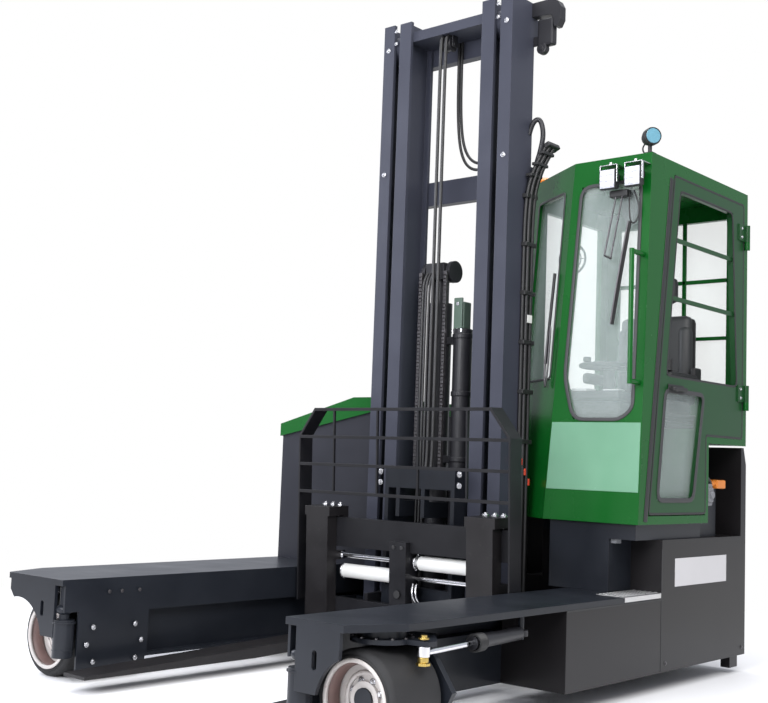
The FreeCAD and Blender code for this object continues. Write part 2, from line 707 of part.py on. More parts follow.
def build_knuckle(name, sign, wheel_out):
    """Top plate with its steering lever, the leg behind the wheel and the stub axle."""
    x = side(sign, wheel_out)
    mid = y("wheel_back")
    leg_front = f"{mid} + tyre_width / 2 + wheel_gap"
    top = rod(
        f"{name}_knuckle",
        "z",
        "slew_radius + leg_plate",
        (x, mid, "knuckle_top - top_plate"),
        "top_plate",
    )
    lever = prism(
        f"{name}_knuckle",
        "z",
        [
            (side(sign, f"{wheel_out} - leg_half"), mid),
            (side(sign, f"{wheel_out} + slew_radius"), mid),
            (side(sign, f"{wheel_out} + lever_reach + lever_half"), f"{mid} + lever_back - lever_half / 2"),
            (side(sign, f"{wheel_out} + lever_reach + lever_half"), f"{mid} + lever_back + lever_half"),
            (side(sign, f"{wheel_out} + leg_half"), f"{leg_front} + leg_plate + hub_motor"),
            (side(sign, f"{wheel_out} - leg_half"), f"{leg_front} + leg_plate"),
        ],
        "knuckle_top - top_plate",
        "knuckle_top",
    )
    leg = prism(
        f"{name}_knuckle",
        "y",
        [
            (side(sign, f"{wheel_out} - leg_half"), "knuckle_top - top_plate"),
            (side(sign, f"{wheel_out} + leg_half"), "knuckle_top - top_plate"),
            (side(sign, f"{wheel_out} + leg_flare"), "tyre_radius + leg_plate"),
            (side(sign, f"{wheel_out} + leg_flare - leg_plate"), "tyre_radius - leg_plate"),
            (side(sign, f"{wheel_out} + leg_half"), "leg_bottom"),
            (side(sign, f"{wheel_out} - leg_half"), "leg_bottom"),
        ],
        leg_front,
        f"{leg_front} + leg_plate",
    )
    motor = rod(
        f"{name}_knuckle",
        "y",
        "motor_radius",
        (x, f"{leg_front} + leg_plate", "tyre_radius"),
        "hub_motor",
    )
    axle = rod(
        f"{name}_knuckle",
        "y",
        "bore_radius - axle_gap",
        (x, f"{mid} - tyre_width / 2 + rim_recess - hub_proud - axle_proud", "tyre_radius"),
        "tyre_width + wheel_gap + leg_plate - rim_recess + hub_proud + axle_proud",
    )
    flange = rod(
        f"{name}_knuckle",
        "y",
        "bore_radius + hub_wall",
        (x, f"{mid} - tyre_width / 2 + rim_recess + rim_disc + hub_back + flange_gap", "tyre_radius"),
        "tyre_width + wheel_gap - rim_recess - rim_disc - hub_back - flange_gap + leg_plate / 2",
    )
    pin = rod(
        f"{name}_knuckle",
        "z",
        "anchor_radius",
        (side(sign, f"{wheel_out} + lever_reach"), f"{mid} + lever_back", "knuckle_top - top_plate"),
        "top_plate + pin_head",
    )
    piece(f"{name}_knuckle", [top, lever, leg, motor, axle, flange, pin])


def build_cylinder(name, sign, wheel_out):
    """Steering cylinder, built along -Y from its rear pin and then turned to the lever's pin."""
    across = f"({wheel_out} + lever_reach - barrel_out)"
    along = "(barrel_back - wheel_back - lever_back)"
    reach = f"sqrt({across} ^ 2 + {along} ^ 2)"
    low = "-eye_height / 2"
    eye = rod(
        f"{name}_rod",
        "z",
        "eye_radius",
        ("0", f"-{reach}", low),
        "knuckle_top - top_plate - eye_gap - rod_height + eye_height / 2",
    )
    shaft = rod(
        f"{name}_rod",
        "y",
        "rod_radius",
        ("0", f"-{reach}", "0"),
        f"{reach} - barrel_length + rod_inside",
    )
    tube = rod(
        f"{name}_barrel",
        "y",
        "barrel_radius",
        ("0", "-barrel_length", "0"),
        "barrel_length - eye_radius",
    )
    bore = rod(
        f"{name}_barrel",
        "y",
        "rod_radius + pin_gap",
        ("0", "-barrel_length - eye_radius", "0"),
        "barrel_length - eye_radius",
    )
    clevis = rod(f"{name}_barrel", "z", "eye_radius + wall / 2", ("0", "0", low), "eye_height")
    hole = rod(f"{name}_barrel", "z", "anchor_radius + pin_gap", ("0", "0", "-eye_height"), "2 * eye_height")
    body = cut(f"{name}_barrel", fuse(f"{name}_barrel", [tube, clevis]), [bore, hole])
    for it, label in ((fuse(f"{name}_rod", [eye, shaft]), "rod"), (body, "barrel")):
        it.Placement = FreeCAD.Placement(V(), FreeCAD.Rotation(V(0, 0, 1), 1))
        bind(it, "Placement.Rotation.Angle", f"{sign} * atan({across} / {along})")
        put(it, side(sign, "barrel_out"), y("barrel_back"), "rod_height")
        piece(f"{name}_steer_{label}", [it])


for name, sign, wheel_out, _, _ in ARMS:
    build_wheel(name, side(sign, wheel_out), "wheel_back", "tyre_radius", "tyre_width")
    build_knuckle(name, sign, wheel_out)
    build_cylinder(name, sign, wheel_out)

# Rear drive wheel under the middle of the chassis
REAR_X = "rear_wheel_x"
build_wheel("rear", REAR_X, "rear_wheel_back", "tyre_radius", "rear_tyre_width")
rear_mid = y("rear_wheel_back")
rear_leg = f"{rear_mid} + rear_tyre_width / 2 + wheel_gap"
turntable = [
    rod(
        "rear_turntable",
        "z",
        "turntable_radius",
        (REAR_X, rear_mid, "turntable_top - top_plate"),
        "top_plate",
    ),
    box(
        "rear_turntable",
        (f"{REAR_X} - leg_half", rear_leg, "leg_bottom"),
        (f"{REAR_X} + leg_half", f"{rear_leg} + leg_plate", "turntable_top - top_plate / 2"),
    ),
    rod(
        "rear_turntable",
        "y",
        "bore_radius - axle_gap",
        (REAR_X, f"{rear_mid} - rear_tyre_width / 2 + rim_recess - hub_proud - axle_proud", "tyre_radius"),
        "rear_tyre_width + wheel_gap + leg_plate - rim_recess + hub_proud + axle_proud",
    ),
    rod(
        "rear_turntable",
        "y",
        "motor_radius",
        (REAR_X, f"{rear_leg} + leg_plate / 2", "tyre_radius"),
        "hub_motor",
    ),
    rod(
        "rear_turntable",
        "z",
        "motor_radius",
        (REAR_X, rear_mid, "turntable_top - top_plate / 2"),
        "drive_motor",
    ),
]
piece("rear_turntable", turntable)

# Rear chassis: a tub round the drive wheel, open towards the mast, with a raised battery box
inner_far, inner_near = side("-1", "opening_half + channel_depth"), side("1", "opening_half + channel_depth")
tub_left = "battery_in - battery_gap - wall"
cover_low, cover_high = side("-1", "hood_in"), side("1", "cab_inside - cab_wall")


def tub_outline(skin, back):
    """The tub's plan, set in by a skin at the sides and by another at the back."""
    return [
        (f"-far_edge + {skin}", y(f"tank_rear + {skin}")),
        (f"{inner_far} - {skin}", y(f"tank_rear + {skin}")),
        (f"{inner_far} - {skin}", y(f"channel_end + {skin}")),
        (f"{inner_near} + {skin}", y(f"channel_end + {skin}")),
        (f"{inner_near} + {skin}", y(f"tank_rear + {skin}")),
        (f"near_edge - {skin}", y(f"tank_rear + {skin}")),
        (f"near_edge - {skin}", y(f"chassis_rear - {back}")),
        (f"-far_edge + {skin}", y(f"chassis_rear - {back}")),
    ]


def battery_outline(skin, back):
    """The battery box's plan, set in the same way."""
    return [
        (f"{tub_left} + {skin}", y(f"channel_end + {skin}")),
        (f"{inner_near} + {skin}", y(f"channel_end + {skin}")),
        (f"{inner_near} + {skin}", y(f"tank_rear + {skin}")),
        (f"near_edge - {skin}", y(f"tank_rear + {skin}")),
        (f"near_edge - {skin}", y(f"chassis_rear - {back}")),
        (f"{tub_left} + {skin}", y(f"chassis_rear - {back}")),
    ]


tub = [
    prism("rear_frame", "z", tub_outline("0", "0"), "arm_bottom", "deck_top"),
    prism("rear_frame", "z", battery_outline("0", "0"), "deck_top", "tub_top"),
    box(
        "rear_frame",
        (cover_low, y("channel_end"), "deck_top"),
        (cover_high, y("chassis_rear"), "cover_top"),
    ),
    prism(
        "rear_frame",
        "x",
        [
            (y("chassis_rear - rear_wall"), "tub_top - wall"),
            (y("chassis_rear"), "tub_top - wall"),
            (y("chassis_rear"), "wall_top - wall_chamfer"),
            (y("chassis_rear - rear_wall / 2"), "wall_top"),
            (y("chassis_rear - rear_wall"), "wall_top"),
        ],
        tub_left,
        "near_edge",
    ),
]
motor_well = rod(
    "rear_frame",
    "z",
    "motor_radius + wheel_gap",
    (REAR_X, rear_mid, "turntable_top"),
    "deck_top - turntable_top",
)
hollow = [
    prism("rear_frame", "z", tub_outline("wall", "rear_wall"), "arm_bottom + floor_plate", "deck_top - wall"),
    prism(
        "rear_frame",
        "z",
        battery_outline("wall", "rear_wall"),
        "arm_bottom + floor_plate",
        "tub_top - wall",
    ),
    box(
        "rear_frame",
        (f"{cover_low} + wall", y("channel_end + wall"), "deck_top"),
        (f"{cover_high} - wall", y("chassis_rear - wall"), "cover_top - wall"),
    ),
    rod("rear_frame", "z", "turntable_radius + wheel_gap", (REAR_X, rear_mid, "0"), "turntable_top"),
    motor_well,
]
shelf = cut(
    "rear_frame",
    box(
        "rear_frame",
        (
            f"{REAR_X} - turntable_radius - shelf_edge",
            y("channel_end + wall / 2"),
            "turntable_top + slide_gap",
        ),
        (
            f"{REAR_X} + turntable_radius + shelf_edge",
            y("chassis_rear - rear_wall / 2"),
            "deck_top - wall / 2",
        ),
    ),
    [
        rod(
            "rear_frame",
            "z",
            "motor_radius + wheel_gap",
            (REAR_X, rear_mid, "turntable_top"),
            "deck_top - turntable_top",
        )
    ],
)
feet = [
    box(
        "rear_frame",
        (low, y("chassis_rear - rear_wall - pad_depth"), "pad_low"),
        (f"{low} + pad_width", y("chassis_rear - rear_wall"), "arm_bottom"),
    )
    for low in ("near_edge - pad_in - pad_width", "-far_edge + pad_in")
]
piece("rear_frame", [cut("rear_frame", fuse("rear_frame", tub), hollow), shelf, *feet])
piece(
    "battery",
    [
        box(
            "battery",
            ("battery_in", y("channel_end + wall + battery_gap"), "arm_bottom + floor_plate"),
            (
                "near_edge - wall - battery_gap",
                y("chassis_rear - rear_wall - battery_gap"),
                "arm_bottom + floor_plate + battery_height",
            ),
        )
    ],
)


# Hood over the hydraulics on the far side, with its lid on a hinge at the back
KNEE = f"{side('-1', 'hood_in')} - hood_flat"


def hood_outline(low, lift):
    """The hood's slope across the truck, as corners from the outside to the mast."""
    return [
        ("-hood_out", low),
        ("-hood_out", f"hood_low + {lift}"),
        (KNEE, f"hood_high + {lift}"),
        (side("-1", "hood_in"), f"hood_high + {lift}"),
        (side("-1", "hood_in"), low),
    ]


hood = prism("hood_body", "y", hood_outline("deck_top", "0"), y("hood_front"), y("chassis_rear"))
hood_void = prism(
    "hood_body",
    "y",
    [
        ("-hood_out + hood_wall", "deck_top"),
        ("-hood_out + hood_wall", "hood_low - hood_wall"),
        (KNEE, "hood_high - hood_wall"),
        (side("-1", "hood_in + hood_wall"), "hood_high - hood_wall"),
        (side("-1", "hood_in + hood_wall"), "deck_top"),
    ],
    y("hood_front + hood_wall"),
    y("chassis_rear - hood_wall"),
)
seal = box(
    "hood_body",
    (KNEE, y("hood_front + hood_wall"), "hood_high"),
    (f"{KNEE} + seal_width", y("chassis_rear - hood_wall"), "hood_high + lid_gap - slide_gap"),
)
piece("hood_body", [cut("hood_body", hood, [hood_void]), seal])

lid = prism(
    "hood_lid",
    "y",
    [
        ("-hood_out - lid_lap", "hood_low - lid_height + lid_gap"),
        ("-hood_out - lid_lap", "hood_low + lid_gap + lid_crown"),
        (KNEE, "hood_high + lid_gap + lid_crown"),
        (side("-1", "hood_in - lid_lap"), "hood_high + lid_gap + lid_crown"),
        (side("-1", "hood_in - lid_lap"), "hood_high - lid_height + lid_gap"),
    ],
    y("hood_front - lid_lap"),
    y("chassis_rear"),
)
lid_void = prism(
    "hood_lid",
    "y",
    [
        ("-hood_out - lid_gap", "deck_top"),
        ("-hood_out - lid_gap", "hood_low + lid_gap"),
        (KNEE, "hood_high + lid_gap"),
        (side("-1", "hood_in - lid_gap"), "hood_high + lid_gap"),
        (side("-1", "hood_in - lid_gap"), "deck_top"),
    ],
    y("hood_front - lid_gap"),
    y("chassis_rear + lid_lap"),
)
piece("hood_lid", [cut("hood_lid", lid, [lid_void])])


# Cab: a hollow shell with a slanted window towards the mast
def cab_outline(inset):
    """The cab's plan, corner by corner, set in from its outer faces."""
    return [
        (f"near_edge - ({inset})", y(f"cab_front + ({inset})")),
        (side("1", f"cab_left + ({inset}) / 2"), y(f"cab_front + ({inset})")),
        (side("1", f"cab_inside + ({inset})"), y(f"cab_front + facet_back + ({inset})")),
        (side("1", f"cab_inside + ({inset})"), y(f"cab_rear - ({inset})")),
        (f"near_edge - ({inset})", y(f"cab_rear - ({inset})")),
    ]


def front_at(height, inset):
    """The door's sloping front edge at a height, set in from it."""
    return y(f"door_front + door_lean * (({height}) - cab_bottom) / (door_top - cab_bottom) + ({inset})")


CAB_RISE = "(cab_top - cab_bottom)"
FACET_WIDE = "(cab_left - cab_inside)"
FACET = f"sqrt(facet_back ^ 2 + {FACET_WIDE} ^ 2)"
FACET_LEAN = f"((facet_back * corner_lean + {FACET_WIDE} * screen_lean) / {FACET})"
FACET_END = f"(screen_lean + facet_back * (cab_left + corner_lean - cab_inside) / {FACET_WIDE})"


def screen_at(height, inset):
    """The leaning front's plane at a height, set in from it."""
    return y(f"cab_front + screen_lean * (({height}) - cab_bottom) / {CAB_RISE} + ({inset})")


def corner_at(height, inset):
    """The edge between the front and the slanted window at a height, set in from it."""
    return side("1", f"cab_left + corner_lean * (({height}) - cab_bottom) / {CAB_RISE} + ({inset})")


def facet_at(height, inset):
    """The slanted window's plane at a height, from its foot, along its own inward way."""
    return f"{FACET_LEAN} * (({height}) - cab_bottom) / {CAB_RISE} + ({inset})"


def facet(name, part):
    """Turns a part made along X to run along the slanted window, from its front corner."""
    it = new("Part::Compound", name)
    it.Links = [part]
    it.Placement = FreeCAD.Placement(V(), FreeCAD.Rotation(WAY["z"], 1))
    bind(it, "Placement.Rotation.Angle", f"-atan(facet_back / {FACET_WIDE})")
    put(it, side("1", "cab_left"), y("cab_front"))
    return it


def lean_waste(inset):
    """What the leaning front and the leaning slanted window take off an upright block."""
    low, high = "cab_bottom - cab_wall", "cab_top + cab_wall"
    front = prism(
        "cab_shell",
        "x",
        [
            (y("cab_front - cab_wall"), low),
            (screen_at(low, inset), low),
            (screen_at(high, inset), high),
            (y("cab_front - cab_wall"), high),
        ],
        side("1", "cab_inside - cab_wall"),
        "near_edge + cab_wall",
    )
    slanted = prism(
        "cab_shell",
        "x",
        [
            ("-4 * cab_wall", low),
            (facet_at(low, inset), low),
            (facet_at(high, inset), high),
            ("-4 * cab_wall", high),
        ],
        f"-2 * {FACET}",
        FACET,
    )
    return [front, facet("cab_shell", slanted)]


sill = "cab_bottom + cab_floor"
raised = box(
    "cab_shell",
    (side("1", "cab_inside"), y("door_notch_back"), "cab_bottom"),
    ("near_edge", y("cab_rear"), "shelf_top"),
)
cab = cut("cab_shell", prism("cab_shell", "z", cab_outline("0"), "cab_bottom", "cab_top"), lean_waste("0"))
room = cut(
    "cab_shell",
    prism("cab_shell", "z", cab_outline("cab_wall"), sill, "cab_top - roof_plate"),
    [raised, *lean_waste("cab_wall")],
)
well = box(
    "cab_shell",
    (side("1", "cab_inside - wall"), y("door_notch_back + cab_wall"), "cab_bottom - wall"),
    ("near_edge + wall", y("cab_rear + wall"), "well_top"),
)
screen_outline = [
    (corner_at("screen_bottom", "screen_cut"), "screen_bottom"),
    ("near_edge - screen_cut", "screen_bottom"),
    ("near_edge - screen_edge", "screen_bottom + screen_edge"),
    ("near_edge - screen_edge", "screen_top"),
    (corner_at("screen_top", "screen_edge"), "screen_top"),
    (corner_at("side_screen_bottom", "screen_edge"), "side_screen_bottom"),
]
screen = prism(
    "cab_shell", "y", screen_outline, y("cab_front - cab_wall"), y("cab_front + 2 * cab_wall + screen_lean")
)
side_window = facet(
    "cab_shell",
    box(
        "cab_shell",
        (f"-{FACET} + screen_edge", "-cab_wall", "side_screen_bottom"),
        ("-screen_edge", f"{FACET_LEAN} + 2 * cab_wall", "screen_top"),
    ),
)
inner_start = y(f"cab_front + {FACET_END} + 2 * screen_edge")
inner_window = box(
    "cab_shell",
    (side("1", "cab_inside - cab_wall"), inner_start, "side_screen_bottom"),
    (side("1", "cab_inside + 2 * cab_wall"), y("cab_rear - 2 * screen_edge"), "screen_top"),
)
rear_window = box(
    "cab_shell",
    (side("1", "cab_inside + 2 * screen_edge"), y("cab_rear - 2 * cab_wall"), "side_screen_bottom"),
    ("near_edge - 2 * screen_edge", y("cab_rear + cab_wall"), "screen_top"),
)


def door_outline(gap):
    """The doorway's outline, set in by a gap all round."""
    return [
        (front_at(sill, gap), f"{sill} + {gap}"),
        (front_at("door_top", gap), f"door_top - {gap}"),
        (y(f"door_rear - {gap}"), f"door_top - {gap}"),
        (y(f"door_rear - {gap}"), f"door_notch + {gap}"),
        (y(f"door_notch_back - {gap}"), f"door_notch + {gap}"),
        (y(f"door_notch_back - {gap}"), f"{sill} + {gap}"),
    ]


doorway = prism("cab_shell", "x", door_outline("0"), "near_edge - 2 * cab_wall", "near_edge + cab_wall")
HINGES = ["hinge_low", "hinge_high"]
AXIS_X = "near_edge + hinge_stand"
axis_y = y("door_rear + hinge_radius")
shell_hinges = []
for height in HINGES:
    foot = f"{height} - hinge_length / 2"
    shell_hinges.append(
        rod("cab_shell", "z", "hinge_radius", (AXIS_X, axis_y, foot), "hinge_length / 2 - slide_gap")
    )
    shell_hinges.append(
        box(
            "cab_shell",
            ("near_edge - cab_wall / 2", f"{axis_y} - strap / 2", foot),
            (AXIS_X, f"{axis_y} + strap / 2", f"{height} - slide_gap"),
        )
    )
openings = [room, well, screen, side_window, inner_window, rear_window, doorway]
piece("cab_shell", [cut("cab_shell", cab, openings), *shell_hinges])

pane_low, pane_mid = "sill_glass", "door_rail - door_frame / 2"
upper_low, upper_high = "door_rail + door_frame / 2", "door_top - door_frame"
upper_pane = [
    (front_at(upper_low, "door_frame"), upper_low),
    (front_at(upper_high, "door_frame"), upper_high),
    (y("door_rear - 2 * door_frame"), upper_high),
    (y("door_rear - door_frame"), upper_low),
]
lower_pane = [
    (front_at(pane_low, "door_frame"), pane_low),
    (front_at(pane_mid, "door_frame"), pane_mid),
    (y("door_notch_back - door_frame / 2"), pane_mid),
    (y("door_notch_back - 2 * door_frame"), pane_low),
]
door = prism(
    "cab_door",
    "x",
    door_outline("door_gap"),
    "near_edge - cab_wall",
    "near_edge + door_proud",
    holes=[upper_pane, lower_pane],
)
bars = [
    box(
        "cab_door",
        ("near_edge - cab_wall / 2", front_at(height, "door_frame / 2"), height),
        ("near_edge - cab_wall / 4", y("door_rear - door_frame / 2"), f"{height} + bar_height"),
    )
    for height in ("bar_low", "bar_high")
]
hinges = []
for height in HINGES:
    hinges.append(rod("cab_door", "z", "hinge_radius", (AXIS_X, axis_y, height), "hinge_length"))
    hinges.append(
        box(
            "cab_door",
            ("near_edge + door_proud", y("door_rear - door_frame"), height),
            ("near_edge + door_proud + strap", axis_y, f"{height} + hinge_length"),
        )
    )
piece("cab_door", [door, *bars, *hinges])

# Reach carriage that rolls in the channels of the arms
reach_half = "opening_half - reach_gap"
reach_top = "channel_top - 2 * channel_lip"
REACH_RADIUS = "(channel_top - arm_bottom) / 2 - channel_lip - slide_gap"
reach_mid = "(channel_top + arm_bottom) / 2"
reach_rear = y(f"rear_roller_back + {REACH_RADIUS}")
frame_parts = []
for sign in ("1", "-1"):
    low, high = span(sign, f"{reach_half} - reach_side", reach_half)
    frame_parts.append(box("reach_frame", (low, y("mast_back"), "mast_foot"), (high, reach_rear, reach_top)))
    for back in ("front_roller_back", "rear_roller_back"):
        start, end = span(sign, "opening_half + roller_clear", "opening_half + roller_clear + roller_width")
        frame_parts.append(rod("reach_frame", "x", REACH_RADIUS, (start, y(back), reach_mid), "roller_width"))
        start, end = span(sign, reach_half, "opening_half + roller_clear")
        frame_parts.append(
            rod("reach_frame", "x", "tilt_pin", (start, y(back), reach_mid), f"({end}) - ({start})")
        )
across = (side("-1", reach_half), side("1", reach_half))
frame_parts.append(
    box(
        "reach_frame",
        (across[0], y("mast_back + rail_depth"), "mast_foot"),
        (across[1], y("mast_back + rail_depth + reach_side"), reach_top),
    )
)
frame_parts.append(
    box(
        "reach_frame",
        (across[0], y("mast_back"), "mast_foot"),
        (across[1], reach_rear, "mast_foot + reach_side"),
    )
)
piece("reach_frame", frame_parts)

# Mast: two outer rails with cross members, two inner rails, a lift carriage inside them
mast_front, mast_rear = y("mast_back"), y("mast_back + rail_depth")
mast_mid = y("mast_back + rail_depth / 2")
OUTER_FOOT = "mast_foot + reach_side"
INNER_FOOT = "mast_foot + 2 * reach_side"
ROLLER = "rail_depth / 2 - flange - slide_gap"


def rail(name, sign, out, width, bottom, top, web_out):
    """A mast rail: two flanges and the web between them."""
    low, high = span(sign, f"{out} - {width}", out)
    web_low, web_high = span(sign, f"{web_out} - rail_web", web_out)
    return [
        box(name, (low, mast_front, bottom), (high, f"{mast_front} + flange", top)),
        box(name, (low, f"{mast_rear} - flange", bottom), (high, mast_rear, top)),
        box(name, (web_low, mast_front, bottom), (web_high, mast_rear, top)),
    ]


def roller(name, sign, inside, outside, height):
    """A roller in a rail's channel, between two places across the truck."""
    start, end = span(sign, inside, outside)
    return rod(name, "x", ROLLER, (start, mast_mid, height), f"({end}) - ({start})")


INNER_WEB = "inner_rail_out - (inner_flange - rail_web) / 2"
outer = []
inner = []
for sign in ("1", "-1"):
    outer += rail(
        "outer_mast",
        sign,
        "outer_rail_out",
        "outer_flange",
        OUTER_FOOT,
        "mast_top",
        "outer_rail_out",
    )
    outer.append(
        roller(
            "outer_mast",
            sign,
            f"{INNER_WEB} + rail_clear",
            "outer_rail_out - rail_web",
            "mast_top - roller_end",
        )
    )
    inner += rail("inner_mast", sign, "inner_rail_out", "inner_flange", INNER_FOOT, "inner_top", INNER_WEB)
    inner.append(
        roller(
            "inner_mast",
            sign,
            INNER_WEB,
            "outer_rail_out - rail_web - rail_clear",
            f"{INNER_FOOT} + roller_end",
        )
    )
for top in ("mast_top - cross_drop", "mid_cross_top"):
    outer.append(
        box(
            "outer_mast",
            (side("-1", "outer_rail_out"), mast_rear, f"{top} - cross_height"),
            (side("1", "outer_rail_out"), f"{mast_rear} + cross_depth", top),
        )
    )
piece("outer_mast", outer)
inner_half = "inner_rail_out - (inner_flange + rail_web) / 2"
inner.append(
    box(
        "inner_mast",
        (side("-1", inner_half), f"{mast_front} + flange", "inner_top - 2 * cross_depth"),
        (side("1", inner_half), f"{mast_rear} - flange", "inner_top - cross_depth"),
    )
)
inner.append(
    box(
        "inner_mast",
        (side("-1", inner_half), f"{mast_rear} - flange - cross_depth", INNER_FOOT),
        (side("1", inner_half), f"{mast_rear} - flange", f"{INNER_FOOT} + cross_height"),
    )
)
piece("inner_mast", inner)

# Free lift ram
ram_x = side("1", "ram_out")
ram_y = y("mast_back + ram_back")
foot = f"{INNER_FOOT} + cross_height"
HEAD_LOW = "head_top - head_height"
piece(
    "ram_barrel",
    [
        rod(
            "ram_barrel",
            "z",
            "ram_radius",
            (ram_x, ram_y, foot),
            f"ram_top - ({foot})",
            inner="ram_rod + pin_gap",
        )
    ],
)
piece(
    "ram_head",
    [
        rod(
            "ram_head",
            "z",
            "ram_rod",
            (ram_x, ram_y, f"{foot} + cross_depth"),
            f"{HEAD_LOW} - ({foot}) - cross_depth",
        ),
        box(
            "ram_head",
            (f"{ram_x} - head_half", f"{ram_y} - head_half", HEAD_LOW),
            (f"{ram_x} + head_half", f"{ram_y} + head_half", "head_top"),
        ),
        rod(
            "ram_head",
            "x",
            "sheave_pin",
            (f"{ram_x} - sheave_in - sheave_width", ram_y, f"{HEAD_LOW} + head_height / 2"),
            "2 * (sheave_in + sheave_width)",
        ),
        *[
            rod(
                "ram_head",
                "x",
                "sheave_radius",
                (start, ram_y, f"{HEAD_LOW} + head_height / 2"),
                "sheave_width",
            )
            for start in (f"{ram_x} + sheave_in", f"{ram_x} - sheave_in - sheave_width")
        ],
    ],
)

# Lift carriage: two plates with rollers, joined by cross bars, and the tilt pin
lift_top = "lift_bottom + lift_height"
lift = []
for sign in ("1", "-1"):
    low, high = span(sign, "lift_out - lift_plate", "lift_out")
    lift.append(
        box(
            "lift_carriage",
            (low, y("lift_front"), "lift_bottom"),
            (high, f"{mast_mid} + lift_behind", lift_top),
        )
    )
    for height in ("lift_bottom + roller_end", f"{lift_top} - roller_end"):
        lift.append(roller("lift_carriage", sign, "lift_out", f"{INNER_WEB} - rail_web - rail_clear", height))
for height in ("lift_bottom", f"{lift_top} - anchor_height"):
    lift.append(
        box(
            "lift_carriage",
            (side("-1", "lift_out - lift_plate"), y("lift_front"), height),
            (side("1", "lift_out - lift_plate"), y("lift_front + beam_plate"), f"{height} + anchor_height"),
        )
    )
# chain anchors under the upper cross bar, one below each sheave
for start in (f"{ram_x} + sheave_in", f"{ram_x} - sheave_in - sheave_width"):
    for low, rear, top in (
        ("chain_foot", ram_y, "chain_foot + chain_block"),
        ("chain_foot + chain_block / 2", y("lift_front + beam_plate"), f"{lift_top} - anchor_height / 2"),
    ):
        lift.append(
            box("lift_carriage", (start, y("lift_front"), low), (f"{start} + sheave_width", rear, top))
        )
lift.append(
    rod(
        "lift_carriage",
        "x",
        "tilt_pin",
        (side("-1", "tilt_pin_half"), y("tilt_back"), "tilt_height"),
        "2 * tilt_pin_half",
    )
)
piece("lift_carriage", lift)

# Load guard: side plates, four bars with cut upper corners and four uprights
GUARD_BARS = 4
guard_front, guard_skin = y("guard_back"), y("guard_back + bar_depth")
guard = []
for sign in ("1", "-1"):
    low, high = span(sign, "guard_half - side_strip", "guard_half")
    guard.append(
        box(
            "load_guard",
            (low, guard_front, "guard_bottom"),
            (high, y("guard_back + side_depth"), "guard_top - guard_pitch"),
        )
    )
    guard.append(
        prism(
            "load_guard",
            "y",
            [
                (side(sign, "guard_half - guard_corner - guard_bar"), "guard_top"),
                (side(sign, "guard_half - guard_corner"), "guard_top"),
                (side(sign, "guard_half"), "guard_top - guard_pitch"),
                (side(sign, "guard_half - guard_bar"), "guard_top - guard_pitch"),
            ],
            guard_front,
            y("guard_back + side_depth"),
        )
    )
    for place in ("upright_in", "upright_out"):
        guard.append(
            box(
                "load_guard",
                (
                    f"{side(sign, place)} - guard_upright",
                    guard_front,
                    f"guard_top - {GUARD_BARS - 1} * guard_pitch - guard_bar",
                ),
                (f"{side(sign, place)} + guard_upright", guard_skin, "guard_top"),
            )
        )
for i in range(GUARD_BARS):
    half = "guard_half - guard_corner" if i == 0 else "guard_half"
    level = f"guard_top - {i} * guard_pitch"
    guard.append(
        box(
            "load_guard",
            (side("-1", half), guard_front, f"{level} - guard_bar"),
            (side("1", half), guard_skin, level),
        )
    )
piece("load_guard", [lean("load_guard", guard)])

# Fork beam: two rails, the middle plate and the lugs on the tilt pin
beam_front, beam_rear = y("beam_back"), y("beam_back + beam_plate")
beam = [
    box(
        "fork_beam",
        (side("-1", "guard_half - side_strip"), beam_front, f"{top} - beam_height"),
        (side("1", "guard_half - side_strip"), beam_rear, top),
    )
    for top in ("beam_top", "beam_low")
]
middle = box(
    "fork_beam",
    (side("-1", "middle_plate / 2"), y("plate_front"), "beam_low - beam_height"),
    (side("1", "middle_plate / 2"), y("plate_rear"), "plate_top"),
)
bores = [
    rod(
        "fork_beam",
        "x",
        "spread_rod + pin_gap",
        (side("-1", "middle_plate / 2"), y("spread_back"), height),
        "middle_plate",
    )
    for height in ("spread_high", "spread_low")
]
beam.append(cut("fork_beam", middle, bores))
for sign in ("1", "-1"):
    low, high = span(sign, "lug_out", "lug_out + lift_plate")
    lug = box(
        "fork_beam",
        (low, y("beam_back + beam_plate / 2"), "tilt_height - lug_half"),
        (high, y("tilt_back + lug_half"), "tilt_height + lug_half"),
    )
    eye = rod("fork_beam", "x", "tilt_pin + pin_gap", (low, y("tilt_back"), "tilt_height"), "lift_plate")
    beam.append(cut("fork_beam", lug, [eye]))
piece("fork_beam", [lean("fork_beam", beam)])

